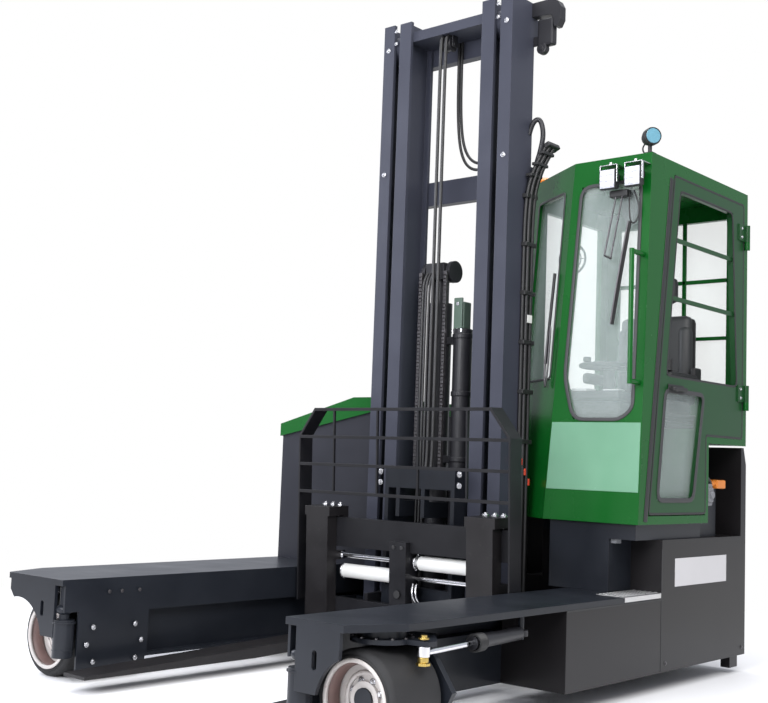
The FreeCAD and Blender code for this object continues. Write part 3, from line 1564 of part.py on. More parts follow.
# Forks, each with its hook over the beam and the lug of its spread rod
for name, sign, level in (("near", "1", "spread_low"), ("far", "-1", "spread_high")):
    low, high = span(sign, "fork_out - fork_width / 2", "fork_out + fork_width / 2")
    blade = prism(
        f"{name}_fork",
        "x",
        [
            (y("fork_front - fork_length"), "fork_under + fork_heel - fork_tip"),
            (y("fork_front - fork_length / 3"), "fork_under"),
            (y("beam_back - slide_gap"), "fork_under"),
            (y("beam_back - slide_gap"), "hook_low"),
            (y("fork_front"), "hook_low"),
            (y("fork_front"), "fork_under + fork_heel"),
            (y("fork_front - fork_length"), "fork_under + fork_heel"),
        ],
        low,
        high,
    )
    hook_low_x, hook_high_x = span(
        sign,
        "fork_out - fork_width / 2 - hook_over",
        "fork_out + fork_width / 2 + hook_over",
    )
    hook = box(
        f"{name}_fork",
        (hook_low_x, y("fork_front"), "hook_low"),
        (hook_high_x, y("hook_back"), "hook_high"),
    )
    lip = box(
        f"{name}_fork",
        (hook_low_x, y("beam_back + beam_plate + slide_gap"), "hook_low - hook_lip"),
        (hook_high_x, y("hook_back"), "hook_low"),
    )
    lug = box(
        f"{name}_fork",
        (low, y("beam_back - slide_gap"), f"{level} - rod_lug"),
        (high, y("beam_back + lug_depth"), f"{level} + rod_lug"),
    )
    piece(f"{name}_fork", [lean(f"{name}_fork", [blade, hook, lip, lug])])
    # the rod runs from the lug through the middle plate into the other side's barrel
    start, end = span(sign, "-spread_inside", "fork_out - fork_width / 2")
    shaft = rod(
        f"{name}_spread_rod",
        "x",
        "spread_rod",
        (start, y("spread_back"), level),
        f"({end}) - ({start})",
    )
    start, end = span(sign, "fork_out - fork_width / 2 - wall", "fork_out - fork_width / 2")
    collar = rod(
        f"{name}_spread_rod",
        "x",
        "spread_rod + wall / 2",
        (start, y("spread_back"), level),
        f"({end}) - ({start})",
    )
    piece(f"{name}_spread_rod", [lean(f"{name}_spread_rod", [shaft, collar])])

# Spread barrels: the upper one towards the near fork, the lower one towards the far fork
upper_start, upper_end = span("1", "spread_start", "spread_end")
lower_start, lower_end = span("-1", "middle_plate / 2", "spread_far_end")
neck_start, neck_end = span("1", "middle_plate / 2", "spread_start")
barrels = []
for start, end, level, radius in (
    (upper_start, upper_end, "spread_high", "spread_radius"),
    (neck_start, neck_end, "spread_high", "spread_rod + wall / 2"),
    (lower_start, lower_end, "spread_low", "spread_radius"),
):
    barrels.append(
        rod(
            "spread_barrels",
            "x",
            radius,
            (start, y("spread_back"), level),
            f"({end}) - ({start})",
            inner="spread_rod + pin_gap",
        )
    )
piece("spread_barrels", [lean("spread_barrels", barrels)])

# Inside the cab: the seat on its raised floor, the dash and the steering wheel
seat_low, seat_high = span("1", "seat_out - seat_half", "seat_out + seat_half")
seat_level = "shelf_top + seat_base"
cushion_top = f"{seat_level} + cushion"
wheel_spot = (side("1", "dash_out"), y("dash_back - column_radius"))
piece(
    "cab_console",
    [
        box(
            "cab_console",
            (seat_low, y("seat_front + cushion"), "shelf_top"),
            (seat_high, y("seat_rear"), seat_level),
        ),
        box(
            "cab_console",
            (side("1", "dash_out - dash_half"), screen_at("dash_height", "cab_wall"), sill),
            (side("1", "dash_out + dash_half"), y("dash_back"), "dash_height"),
        ),
        rod("cab_console", "z", "column_radius", (*wheel_spot, "dash_height"), "wheel_rise"),
        rod("cab_console", "z", "steering_radius", (*wheel_spot, "dash_height + wheel_rise"), "2 * wall"),
    ],
)
cushion_back = y("seat_rear - cushion")
piece(
    "driver_seat",
    [
        box("driver_seat", (seat_low, y("seat_front"), seat_level), (seat_high, y("seat_rear"), cushion_top)),
        box("driver_seat", (seat_low, cushion_back, cushion_top), (seat_high, y("seat_rear"), "seat_top")),
        box(
            "driver_seat",
            (side("1", "seat_out - seat_half / 4"), f"{cushion_back} + cushion / 3", "seat_top"),
            (side("1", "seat_out + seat_half / 4"), y("seat_rear - cushion / 3"), "head_low"),
        ),
        box(
            "driver_seat",
            (side("1", "seat_out - seat_half / 2"), cushion_back, "head_low"),
            (side("1", "seat_out + seat_half / 2"), y("seat_rear - cushion / 4"), "head_high"),
        ),
    ],
)

# Pedestal: the subframe under the cab, its post on the near deck and the step beside it
pedestal_left = side("1", "cab_left + pedestal_inset")
pedestal_right = "near_edge - pedestal_inset"
subframe = prism(
    "cab_pedestal",
    "z",
    [
        (pedestal_left, y("cab_front + pedestal_inset")),
        (pedestal_right, y("cab_front + pedestal_inset")),
        (pedestal_right, y("door_notch_back")),
        (tub_left, y("door_notch_back")),
        (tub_left, y("channel_end")),
        (pedestal_left, y("channel_end")),
    ],
    "tub_top",
    "cab_bottom",
)
post = box(
    "cab_pedestal",
    (pedestal_left, y("cab_front + pedestal_inset"), "deck_top"),
    (side("1", "post_edge"), y("tank_rear"), "tub_top"),
)
hollow_post = box(
    "cab_pedestal",
    (f"{pedestal_left} + wall", y("cab_front + pedestal_inset + wall"), "deck_top"),
    (side("1", "post_edge - wall"), y("tank_rear - wall"), "tub_top"),
)
piece("cab_pedestal", [subframe, cut("cab_pedestal", post, [hollow_post])])
piece("tread_step", [step_block("tread_step", "0")])

# Glass
pane = "cab_wall / 2"
glass_back = f"{pane} + glass"
slanted = [
    (facet_at("side_screen_bottom", pane), "side_screen_bottom"),
    (facet_at("side_screen_bottom", glass_back), "side_screen_bottom"),
    (facet_at("screen_top", glass_back), "screen_top"),
    (facet_at("screen_top", pane), "screen_top"),
]
upright_pane = prism(
    "cab_glass",
    "y",
    screen_outline,
    y("cab_front"),
    y("cab_front + cab_wall + screen_lean"),
)
leaning_slab = prism(
    "cab_glass",
    "x",
    [
        (screen_at("cab_bottom", pane), "cab_bottom"),
        (screen_at("cab_bottom", glass_back), "cab_bottom"),
        (screen_at("cab_top", glass_back), "cab_top"),
        (screen_at("cab_top", pane), "cab_top"),
    ],
    side("1", "cab_left"),
    "near_edge",
)
glass_panes = [
    common("cab_glass", [upright_pane, leaning_slab]),
    facet("cab_glass", prism("cab_glass", "x", slanted, f"-{FACET} + screen_edge", "-screen_edge")),
    box(
        "cab_glass",
        (side("1", f"cab_inside + {pane}"), inner_start, "side_screen_bottom"),
        (side("1", f"cab_inside + {pane} + glass"), y("cab_rear - 2 * screen_edge"), "screen_top"),
    ),
    box(
        "cab_glass",
        (side("1", "cab_inside + 2 * screen_edge"), y(f"cab_rear - {pane} - glass"), "side_screen_bottom"),
        ("near_edge - 2 * screen_edge", y(f"cab_rear - {pane}"), "screen_top"),
    ),
]
piece("cab_glass", glass_panes)
door_pane = "near_edge - cab_wall + glass"
piece("door_glass", [prism("door_glass", "x", lower_pane, door_pane, f"{door_pane} + glass")])

# Lamps, beacon and grab rail
lamp_high = "screen_top + lamp_lap"
lamp_low = f"{lamp_high} - 2 * lamp_half"
lamps = []
for place in ("lamp_out", "lamp_out + lamp_pitch"):
    lamps.append(
        prism(
            "lamps",
            "x",
            [
                (y("lamp_back"), lamp_low),
                (screen_at(lamp_low, "0"), lamp_low),
                (screen_at(lamp_high, "0"), lamp_high),
                (y("lamp_back"), lamp_high),
            ],
            side("1", f"{place} - lamp_half"),
            side("1", f"{place} + lamp_half"),
        )
    )
spot = ("near_edge - spot_in", y("cab_front + screen_lean + spot_in"))
lamps.append(rod("lamps", "z", "column_radius / 2", (*spot, "cab_top"), "spot_rise"))
lamps.append(
    rod(
        "lamps",
        "y",
        "spot_radius",
        (spot[0], f"{spot[1]} - spot_radius", "cab_top + spot_rise + spot_radius / 2"),
        "2 * spot_radius",
    )
)
piece("lamps", lamps)
beacon_spot = (side("1", "cab_inside + beacon_radius"), y(f"cab_front + {FACET_END} + beacon_radius"))
piece("beacon", [rod("beacon", "z", "beacon_radius", (*beacon_spot, "cab_top"), "beacon_rise")])
grips = [rod("grab_rail", "z", "rail_tube", ("rail_x", y("rail_y"), "rail_low"), "rail_high - rail_low")]
for height in ("rail_low + rail_tube", "rail_high - rail_tube"):
    stub = f"{screen_at(f'{height} - rail_tube', '0')} - ({y('rail_y')})"
    grips.append(rod("grab_rail", "y", "rail_tube", ("rail_x", y("rail_y"), height), stub))
piece("grab_rail", grips)

doc.recompute()
broken = [it.Name for it in doc.Objects if "Invalid" in it.State or "Error" in it.State]
if broken:
    raise RuntimeError(f"objects that failed: {broken}")
os.makedirs("parts", exist_ok=True)
for label, whole in pieces.items():
    shape = whole.Shape
    if shape.isNull() or not shape.isValid() or shape.Volume <= 0:
        raise RuntimeError(f"{label} has no valid shape")
    print(f"{label:22s} solids {len(shape.Solids)} volume {shape.Volume / 1e6:9.2f} dm3")
for label, whole in pieces.items():
    whole.Shape.exportStep(f"parts/{label}.step")
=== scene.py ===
import bpy
import bmesh
import json
import math
from mathutils import Matrix, Vector


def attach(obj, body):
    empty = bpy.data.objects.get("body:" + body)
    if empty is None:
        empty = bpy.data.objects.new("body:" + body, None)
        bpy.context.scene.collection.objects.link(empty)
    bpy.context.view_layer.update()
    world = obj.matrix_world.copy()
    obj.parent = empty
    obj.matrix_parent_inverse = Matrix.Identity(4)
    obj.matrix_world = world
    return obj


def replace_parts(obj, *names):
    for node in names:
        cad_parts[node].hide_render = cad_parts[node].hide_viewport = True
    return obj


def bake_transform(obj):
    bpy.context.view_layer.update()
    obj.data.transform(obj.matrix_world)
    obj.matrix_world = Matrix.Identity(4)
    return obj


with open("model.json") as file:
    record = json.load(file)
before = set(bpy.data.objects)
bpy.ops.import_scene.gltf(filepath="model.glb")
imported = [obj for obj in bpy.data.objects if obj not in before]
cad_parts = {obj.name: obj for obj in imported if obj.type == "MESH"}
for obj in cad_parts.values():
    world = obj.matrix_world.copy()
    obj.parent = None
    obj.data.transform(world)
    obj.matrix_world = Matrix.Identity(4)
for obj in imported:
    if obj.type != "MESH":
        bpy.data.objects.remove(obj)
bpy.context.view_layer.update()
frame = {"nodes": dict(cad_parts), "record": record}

NODES = frame["nodes"]


# Materials
def node(nodes, kind, data_type=None, **values):
    """A shader node with its inputs set; an underscore stands for the space in an input's name."""
    made = nodes.new(f"ShaderNode{kind}")
    if data_type:
        made.data_type = data_type
    for name, value in values.items():
        made.inputs[name.replace("_", " ")].default_value = value
    return made


def noise(nodes, links, place, scale, detail, **more):
    """A noise texture in the object's own coordinates."""
    made = node(nodes, "TexNoise", Scale=scale, Detail=detail, **more)
    links.new(place.outputs["Object"], made.inputs["Vector"])
    return made


def spread(nodes, links, source, low, high, target):
    """Maps a noise to a range of values on a shader's socket."""
    made = node(nodes, "MapRange", To_Min=low, To_Max=high)
    links.new(source.outputs["Fac"], made.inputs["Value"])
    links.new(made.outputs["Result"], target)


def new_material(name, **values):
    """A material and its nodes, links and shader, with the shader's inputs set."""
    mat = bpy.data.materials.new(name)
    mat.use_nodes = True
    nodes = mat.node_tree.nodes
    shader = nodes["Principled BSDF"]
    for key, value in values.items():
        shader.inputs[key.replace("_", " ")].default_value = value
    return mat, nodes, mat.node_tree.links, shader


def material(
    name, colour, rough, metal=0.0, vary=0.12, scale=9.0, bump=0.04, grain=260.0, coat=0.0,
    soft=0.003, worn=None, shine=0.5,
):
    """Paint-like surface: slow changes of colour and gloss, fine grain, and rounded-looking edges."""
    coat_rough, lift, gloss_step, gloss_least, grain_rise = 0.12, 0.004, 0.1, 0.03, 0.001
    wear_scale, wear_rough, wear_start, wear_full = 38, 0.7, 0.6, 0.7
    mat, nodes, links, shader = new_material(
        name, Metallic=metal, Coat_Weight=coat, Specular_IOR_Level=shine, Coat_Roughness=coat_rough
    )
    place = nodes.new("ShaderNodeTexCoord")
    cloud = noise(nodes, links, place, scale, 6)
    dark = (*[c * (1 - vary) for c in colour], 1)
    light = (*[min(1, c * (1 + vary) + lift) for c in colour], 1)
    mix = node(nodes, "Mix", "RGBA", A=dark, B=light)
    links.new(cloud.outputs["Fac"], mix.inputs["Factor"])
    colour_out = mix.outputs["Result"]
    least, most = max(gloss_least, rough - gloss_step), min(1, rough + gloss_step)
    spread(nodes, links, cloud, least, most, shader.inputs["Roughness"])
    if worn:
        spots = noise(nodes, links, place, wear_scale, 9, Roughness=wear_rough)
        ramp = nodes.new("ShaderNodeValToRGB")
        for stop, position in zip(ramp.color_ramp.elements, (wear_start, wear_full)):
            stop.position = position
        links.new(spots.outputs["Fac"], ramp.inputs["Fac"])
        wear = node(nodes, "Mix", "RGBA", B=(*worn, 1))
        links.new(ramp.outputs["Color"], wear.inputs["Factor"])
        links.new(colour_out, wear.inputs["A"])
        colour_out = wear.outputs["Result"]
    links.new(colour_out, shader.inputs["Base Color"])
    edge = node(nodes, "Bevel", Radius=soft)
    edge.samples = 4
    fine = noise(nodes, links, place, grain, 3)
    rise = node(nodes, "Bump", Strength=bump, Distance=grain_rise)
    links.new(fine.outputs["Fac"], rise.inputs["Height"])
    links.new(edge.outputs["Normal"], rise.inputs["Normal"])
    links.new(rise.outputs["Normal"], shader.inputs["Normal"])
    return mat


def glass(name, colour, rough=0.02, alpha=0.16, rough_step=0.08, thin=0.8, thick=1.3):
    """Clear pane: mostly see-through, with a sharp reflection and a little dust."""
    mat, nodes, links, shader = new_material(name, Base_Color=(*colour, 1))
    place = nodes.new("ShaderNodeTexCoord")
    dust = noise(nodes, links, place, 5, 8)
    spread(nodes, links, dust, rough, rough + rough_step, shader.inputs["Roughness"])
    spread(nodes, links, dust, alpha * thin, alpha * thick, shader.inputs["Alpha"])
    return mat


# Each paint: colour, roughness, and what else differs from the plain paint
PAINTS = {
    "frame_paint": ((0.01, 0.012, 0.017), 0.34, dict(vary=0.3, coat=0.05, bump=0.05, scale=5, shine=0.25)),
    "mast_paint": ((0.038, 0.041, 0.058), 0.42, dict(vary=0.15, coat=0.03, scale=4, shine=0.2)),
    "hood_grey": ((0.014, 0.015, 0.022), 0.4, dict(vary=0.2, coat=0.03, scale=3, shine=0.22)),
    "side_black": ((0.009, 0.008, 0.009), 0.32, dict(vary=0.3, coat=0.05, scale=2.5, shine=0.25)),
    "cab_green": ((0.001, 0.078, 0.008), 0.26, dict(vary=0.08, coat=0.08, scale=3, bump=0.02, shine=0.2)),
    # door paint: a darker, greyer copy of the cab green, painted shade of the door's side, which gets less
    # light than the front
    "door_green_shaded": ((0.006, 0.052, 0.012), 0.34, dict(vary=0.1, coat=0.05, scale=3, bump=0.03, shine=0.25)),
    # a lighter copy of the cab green for the panel under the windscreen: painted highlight of the lit lower
    # front
    "cab_front_green_highlight": ((0.13, 0.29, 0.185), 0.22, dict(vary=0.1, coat=0.3, scale=4, bump=0.02)),
    "guard_black": ((0.008, 0.008, 0.01), 0.4, dict(vary=0.2, shine=0.25)),
    "seal_grey": ((0.035, 0.035, 0.038), 0.55, dict(vary=0.1, bump=0.05)),
    "tyre": ((0.01, 0.01, 0.011), 0.72, dict(vary=0.35, bump=0.35, grain=160, scale=24, soft=0.006)),
    "rim_paint": ((0.5, 0.47, 0.45), 0.4, dict(scale=30, worn=(0.22, 0.16, 0.13))),
    "rim_inside": ((0.16, 0.1, 0.09), 0.55, dict(vary=0.3, scale=20)),
    "chrome_rod": ((0.8, 0.8, 0.83), 0.12, dict(metal=1.0, vary=0.03, bump=0.01)),
    "barrel_white": ((0.7, 0.7, 0.68), 0.35, dict(vary=0.05, coat=0.3)),
    "cylinder_black": ((0.014, 0.014, 0.017), 0.38, dict(vary=0.2, coat=0.05, shine=0.3)),
    "fork_steel": (
        (0.009, 0.008, 0.009), 0.45,
        dict(vary=0.3, bump=0.15, grain=90, worn=(0.028, 0.026, 0.026), shine=0.3),
    ),
    "battery_case": ((0.05, 0.05, 0.055), 0.6, {}),
    "seat_cover": ((0.03, 0.032, 0.034), 0.5, dict(vary=0.25, bump=0.3, grain=420)),
    "trim_black": ((0.012, 0.012, 0.013), 0.5, dict(vary=0.2, bump=0.12, grain=330)),
    "tread_plate": ((0.66, 0.66, 0.66), 0.3, dict(metal=0.9, vary=0.08)),
    "bolt_steel": ((0.62, 0.62, 0.64), 0.25, dict(metal=1.0, vary=0.1)),
    "brass": ((0.55, 0.4, 0.12), 0.3, dict(metal=1.0, vary=0.15)),
    "label_grey": ((0.55, 0.54, 0.55), 0.4, dict(vary=0.04)),
    "lamp_glass": ((0.62, 0.64, 0.68), 0.12, dict(vary=0.1, scale=60, coat=0.6)),
    "amber": ((0.85, 0.22, 0.01), 0.2, dict(vary=0.08, coat=0.5)),
    "plug_red": ((0.55, 0.05, 0.02), 0.4, dict(vary=0.1)),
    "hose_black": ((0.012, 0.012, 0.013), 0.45, dict(vary=0.2, bump=0.1, grain=300)),
    "chain_steel": ((0.1, 0.095, 0.1), 0.3, dict(metal=0.8, vary=0.2)),
    "lamp_lens": ((0.56, 0.57, 0.64), 0.18, dict(vary=0.2, scale=60, coat=0.4)),
    "spot_lens": ((0.1, 0.26, 0.34), 0.1, dict(vary=0.2, scale=40, coat=0.8)),
    "valve_grey": ((0.07, 0.11, 0.085), 0.45, dict(vary=0.15)),
    "isolator_grey": ((0.17, 0.175, 0.19), 0.45, dict(vary=0.1)),
    "plug_orange": ((0.62, 0.19, 0.02), 0.4, dict(vary=0.1)),
}
M = {name: material(name, colour, rough, **more) for name, (colour, rough, more) in PAINTS.items()}
M["clear_glass"] = glass("clear_glass", (0.75, 0.86, 0.84))

# the door takes the darker copy of the cab green, painted shade of its side
OWN_PAINT = {
    "cab_door": "door_green_shaded", "load_guard": "guard_black", "fork_beam": "guard_black",
    "hood_body": "hood_grey",
}
RECORD_SLOT = {row["node"]: row["material_slot"] for row in frame["record"]["subparts"]}
for name, thing in NODES.items():
    made = M[OWN_PAINT.get(name, RECORD_SLOT[name])]
    for place in thing.material_slots:
        place.material = made
    if not thing.material_slots:
        thing.data.materials.append(made)


# Shapes
AXES = {"x": (1, 0, 0), "y": (0, 1, 0), "z": (0, 0, 1)}


def placed(name, data):
    """Links an object to the scene."""
    thing = bpy.data.objects.new(name, data)
    bpy.context.scene.collection.objects.link(thing)
    return thing


def show(name, data, paint):
    """Links an object to the scene and paints it."""
    data.materials.append(M[paint])
    return placed(name, data)


def as_mesh(bm, name):
    """Turns a bmesh into mesh data."""
    data = bpy.data.meshes.new(name)
    bm.to_mesh(data)
    bm.free()
    return data


def add(name, bm, paint, body="chassis", smooth=False):
    """Puts a bmesh in the scene as a piece of a body."""
    thing = show(name, as_mesh(bm, name), paint)
    for face in thing.data.polygons:
        face.use_smooth = smooth
    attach(thing, body)
    return thing


def way_of(axis):
    """The unit direction that an axis letter or a vector names."""
    if isinstance(axis, str):
        return Vector(AXES[axis])
    return Vector(axis).normalized()


def bevelled(bm, made, edges, cut):
    """Rounds some edges of new vertices' shape, and returns the vertices that it then has."""
    out = bmesh.ops.bevel(bm, geom=edges, offset=cut, segments=2, affect="EDGES", profile=0.5)
    return list({v for v in made if v.is_valid} | {v for f in out["faces"] for v in f.verts})


def move(verts, spin, centre):
    """Turns vertices about the origin, then moves them."""
    for vert in verts:
        vert.co = spin @ vert.co + Vector(centre)


def block(bm, low, high, bevel=0.002, turn=None):
    """Adds a bevelled block between two corners to a bmesh."""
    most = 0.45
    low, high = Vector(low), Vector(high)
    made = bmesh.ops.create_cube(bm, size=1)["verts"]
    size, mid = high - low, (low + high) / 2
    for vert in made:
        vert.co = Vector((vert.co.x * size.x, vert.co.y * size.y, vert.co.z * size.z))
    if bevel:
        edges = list({e for v in made for e in v.link_edges})
        made = bevelled(bm, made, edges, min(bevel, min(size) * most))
    move(made, turn or Matrix.Identity(3), mid)


def wall(bm, here, there):
    """Joins two rings of vertices with faces."""
    for k in range(len(here)):
        m = (k + 1) % len(here)
        bm.faces.new((here[k], there[k], there[m], here[m]))


def bridge(bm, front, rear):
    """Joins two rings of vertices into a closed plate."""
    bm.faces.new(front)
    bm.faces.new(list(reversed(rear)))
    wall(bm, front, rear)
    bmesh.ops.recalc_face_normals(bm, faces=bm.faces)


def prism(bm, outline, low, high):
    """Adds an outline of (x, z) places as a plate between two places along y."""
    bridge(bm, *[[bm.verts.new((x, y, z)) for x, z in outline] for y in (low, high)])


def disc(bm, centre, radius, length, axis="z", sides=24, radius2=None, bevel=0.0):
    """Adds a cylinder or cone centred on a point, along an axis or a direction."""
    level = 1e-6
    way = way_of(axis)
    far = radius if radius2 is None else radius2
    cone = bmesh.ops.create_cone(bm, cap_ends=True, segments=sides, radius1=radius, radius2=far, depth=length)
    made = cone["verts"]
    if bevel:
        edges = {e for v in made for e in v.link_edges}
        rims = [e for e in edges if abs(e.verts[0].co.z - e.verts[1].co.z) < level]
        made = bevelled(bm, made, rims, bevel)
    move(made, way.to_track_quat("Z", "Y").to_matrix(), centre)


def lathe(bm, profile, centre, axis="y", sides=64):
    """Turns a closed profile of (radius, place along the axis) about an axis through centre."""
    way = way_of(axis)
    side = Vector((0, 0, 1)) if axis != "z" else Vector((1, 0, 0))
    other = way.cross(side)
    rings = []
    for i in range(sides):
        turn = 2 * math.pi * i / sides
        out = side * math.cos(turn) + other * math.sin(turn)
        rings.append([bm.verts.new(Vector(centre) + out * r + way * a) for r, a in profile])
    for i in range(sides):
        wall(bm, rings[i], rings[(i + 1) % sides])
    bmesh.ops.recalc_face_normals(bm, faces=bm.faces)


def round_section(ring, thick):
    """A thin ring's closed profile, for lathe."""
    return [(ring + thick * math.cos(a * math.pi / 4), thick * math.sin(a * math.pi / 4)) for a in range(8)]


def bolt(bm, centre, axis, radius=0.008, height=0.006):
    """A hexagon head on its washer, standing along an axis."""
    way = way_of(axis)
    disc(bm, Vector(centre) + way * height * 0.15, radius * 1.5, height * 0.3, way, 16)
    disc(bm, Vector(centre) + way * height * 0.7, radius, height * 0.8, way, 6, radius2=radius * 0.92)


def bolts(name, centres, axis, radius, height, paint, body="chassis"):
    """Several bolts as one piece."""
    bm = bmesh.new()
    for centre in centres:
        bolt(bm, centre, axis, radius, height)
    add(name, bm, paint, body)


def blocks(name, corners, paint, body="chassis", smooth=False):
    """Several blocks, each (low corner, high corner, bevel), as one piece."""
    bm = bmesh.new()
    for low, high, bevel in corners:
        block(bm, low, high, bevel)
    return add(name, bm, paint, body, smooth)


def round_curve(name, points, radius, smooth=True, cyclic=False):
    """A curve with a round section along a line of points."""
    curve = bpy.data.curves.new(name, "CURVE")
    curve.dimensions = "3D"
    curve.bevel_depth = radius
    curve.bevel_resolution = 3
    line = curve.splines.new("NURBS" if smooth else "POLY")
    line.points.add(len(points) - 1)
    for spot, p in zip(line.points, points):
        spot.co = (*p, 1)
    if smooth:
        line.order_u = 3
        line.use_endpoint_u = True
    line.use_cyclic_u = cyclic
    return curve


def tube(name, points, radius, paint, body="chassis", cyclic=False, smooth=True):
    """A round hose, pipe or rubber strip along a line."""
    curve = round_curve(name, points, radius, smooth, cyclic)
    curve.use_fill_caps = True
    thing = show(name, curve, paint)
    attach(thing, body)
    return thing


def mesh_tube(name, points, radius, paint):
    """A tube as a mesh that rides on nothing yet, for a hose that stretches between two bodies."""
    curve = round_curve(name, points, radius)
    curve.splines[0].resolution_u = 8
    source = bpy.data.objects.new(name, curve)
    data = bpy.data.meshes.new_from_object(source)
    bpy.data.objects.remove(source)
    for face in data.polygons:
        face.use_smooth = True
    data.materials.clear()
    return show(name, data, paint)


def held(name, points, radius, body):
    """A free hose or lead."""
    thing = tube(name, points, radius, "hose_black", body)


def strip(name, points, width, depth, out, paint, body="chassis", closed=True):
    """A flat rubber strip that follows a line of corners; out is the way it faces."""
    lip, shoulder, tightest = 0.9, 0.8, 0.4
    out = Vector(out).normalized()
    points = [Vector(p) for p in points]
    bm = bmesh.new()
    rings = []
    count = len(points)
    for i, p in enumerate(points):
        before = points[i - 1] if closed or i else p
        after = points[(i + 1) % count] if closed or i < count - 1 else p
        along = (p - before).normalized() + (after - p).normalized()
        along.normalize()
        side = out.cross(along).normalized()
        bend = 1.0
        if closed or 0 < i < count - 1:
            bend = 1 / max(tightest, side.dot(out.cross((after - p).normalized())))
        half = side * width / 2 * abs(bend)
        rings.append([bm.verts.new(c) for c in (
            p - half, p - half * lip + out * depth * shoulder, p - half * 0.5 + out * depth,
            p + half * 0.5 + out * depth, p + half * lip + out * depth * shoulder, p + half,
        )])
    last = count if closed else count - 1
    for i in range(last):
        wall(bm, rings[i], rings[(i + 1) % count])
    if not closed:
        bm.faces.new(rings[0])
        bm.faces.new(list(reversed(rings[-1])))
    bmesh.ops.recalc_face_normals(bm, faces=bm.faces)
    add(name, bm, paint, body)


def rounded(corners, radius, steps=5):
    """Rounds the corners of a closed line of points."""
    most = 0.45
    corners = [Vector(c) for c in corners]
    done = []
    for i, corner in enumerate(corners):
        back = corners[i - 1] - corner
        on = corners[(i + 1) % len(corners)] - corner
        cut = min(radius, back.length * most, on.length * most)
        start, end = corner + back.normalized() * cut, corner + on.normalized() * cut
        for k in range(steps + 1):
            t = k / steps
            done.append(start * (1 - t) ** 2 + corner * 2 * t * (1 - t) + end * t ** 2)
    return done


def turned(name, profile, centre, axis, sides, paint, body="chassis"):
    """A closed profile turned about an axis, as one smooth piece."""
    bm = bmesh.new()
    lathe(bm, profile, centre, axis, sides)
    return add(name, bm, paint, body, smooth=True)


def ring_of(count, radius, part=0.0):
    """Places round a circle, as two offsets; part turns them by a share of a step."""
    turns = [2 * math.pi * (k + part) / count for k in range(count)]
    return [(radius * math.cos(turn), radius * math.sin(turn)) for turn in turns]


# Named places shared by several pieces, in metres
NEAR_X = 1.138
FORK_X = 0.044
CAB_LOW = 0.786
CAB_TOP = 2.57
LEAN_SPAN = CAB_TOP - CAB_LOW
SCREEN_FOOT = (0.615, 0.375)
WHEEL_Y = -1.253
WHEEL_Z = 0.185
NEAR_WHEEL_X = 1.002
FAR_WHEEL_X = -0.906
FAR_ARM_INSIDE = -0.647
BACK = 1.545
WHEELS = [
    ("near", "near_wheel", NEAR_WHEEL_X, WHEEL_Y, 0.276),
    ("far", "far_wheel", FAR_WHEEL_X, WHEEL_Y, 0.276),
    ("rear", "drive_wheel", -0.02, 1.195, 0.17),
]


def screen_y(z):
    """Outer face of the leaning front at a height."""
    return SCREEN_FOOT[1] + 0.08 * (z - CAB_LOW) / LEAN_SPAN


def corner_x(z):
    """Left edge of the leaning front at a height."""
    return SCREEN_FOOT[0] + 0.093 * (z - CAB_LOW) / LEAN_SPAN


SLANT = Vector((-0.843, 0.537, 0))
SLANT_IN = Vector((0.537, 0.843, 0))


def slant_at(along, z, inset=0.0):
    """A point on the slanted window's plane, from its front edge."""
    lean = 0.117 * (z - CAB_LOW) / LEAN_SPAN
    return Vector((*SCREEN_FOOT, z)) + SLANT * along + SLANT_IN * (lean + inset)


def door_y(z, inset=0.0):
    """The door's sloping front edge at a height."""
    return 0.465 + 0.22 * (z - CAB_LOW) / 1.719 + inset


def front_point(x, z, out=0.0):
    """A point on the leaning front, or out from it."""
    return Vector((x, screen_y(z) - out, z))


# Wheels: smooth tyres, rim rings, hub bolts
def add_wheels():
    inner, outer, shoulder, flange, steps = 0.15, 0.185, 0.024, 0.012, 6
    ring = [
        (0.15, 0.0), (0.1515, -0.004), (0.148, -0.007), (0.139, -0.007), (0.135, -0.003), (0.135, 0.006),
        (0.15, 0.006),
    ]
    lip = [(0.1405, 0.007), (0.1395, 0.007), (0.126, 0.058), (0.128, 0.06), (0.1408, 0.06)]
    bead = [(0.104, 0.0), (0.1, -0.006), (0.092, -0.008), (0.086, -0.004), (0.084, 0.0)]
    turns = [math.pi / 2 * k / steps for k in range(steps + 1)]
    rise = [(shoulder * math.cos(turn), shoulder * math.sin(turn)) for turn in turns]
    for name, body, x, y, width in WHEELS:
        half = width / 2
        front = y - half
        face = front + 0.066
        profile = [(inner, -half), (inner + flange, -half - 0.001)]
        profile += [(outer - shoulder + up, -half + shoulder - over) for over, up in rise]
        profile += [(outer - shoulder + over, half - shoulder + up) for over, up in rise]
        profile += [(inner + flange, half + 0.001), (inner, half)]
        tyre = turned(f"{name}_tyre_smooth", profile, (x, y, WHEEL_Z), "y", 128, "tyre", body)
        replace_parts(tyre, f"{name}_tyre")
        turned(f"{name}_rim_ring", ring, (x, front, WHEEL_Z), "y", 96, "rim_paint", body)
        if name == "rear":
            continue
        turned(f"{name}_rim_lip", lip, (x, front, WHEEL_Z), "y", 96, "rim_inside", body)
        turned(f"{name}_rim_bead", bead, (x, face, WHEEL_Z), "y", 96, "rim_paint", body)
        places = [(x + dx, face, WHEEL_Z + dz) for dx, dz in ring_of(8, 0.07, 0.5)]
        bolts(f"{name}_wheel_bolts", places, (0, -1, 0), 0.009, 0.011, "bolt_steel", body)


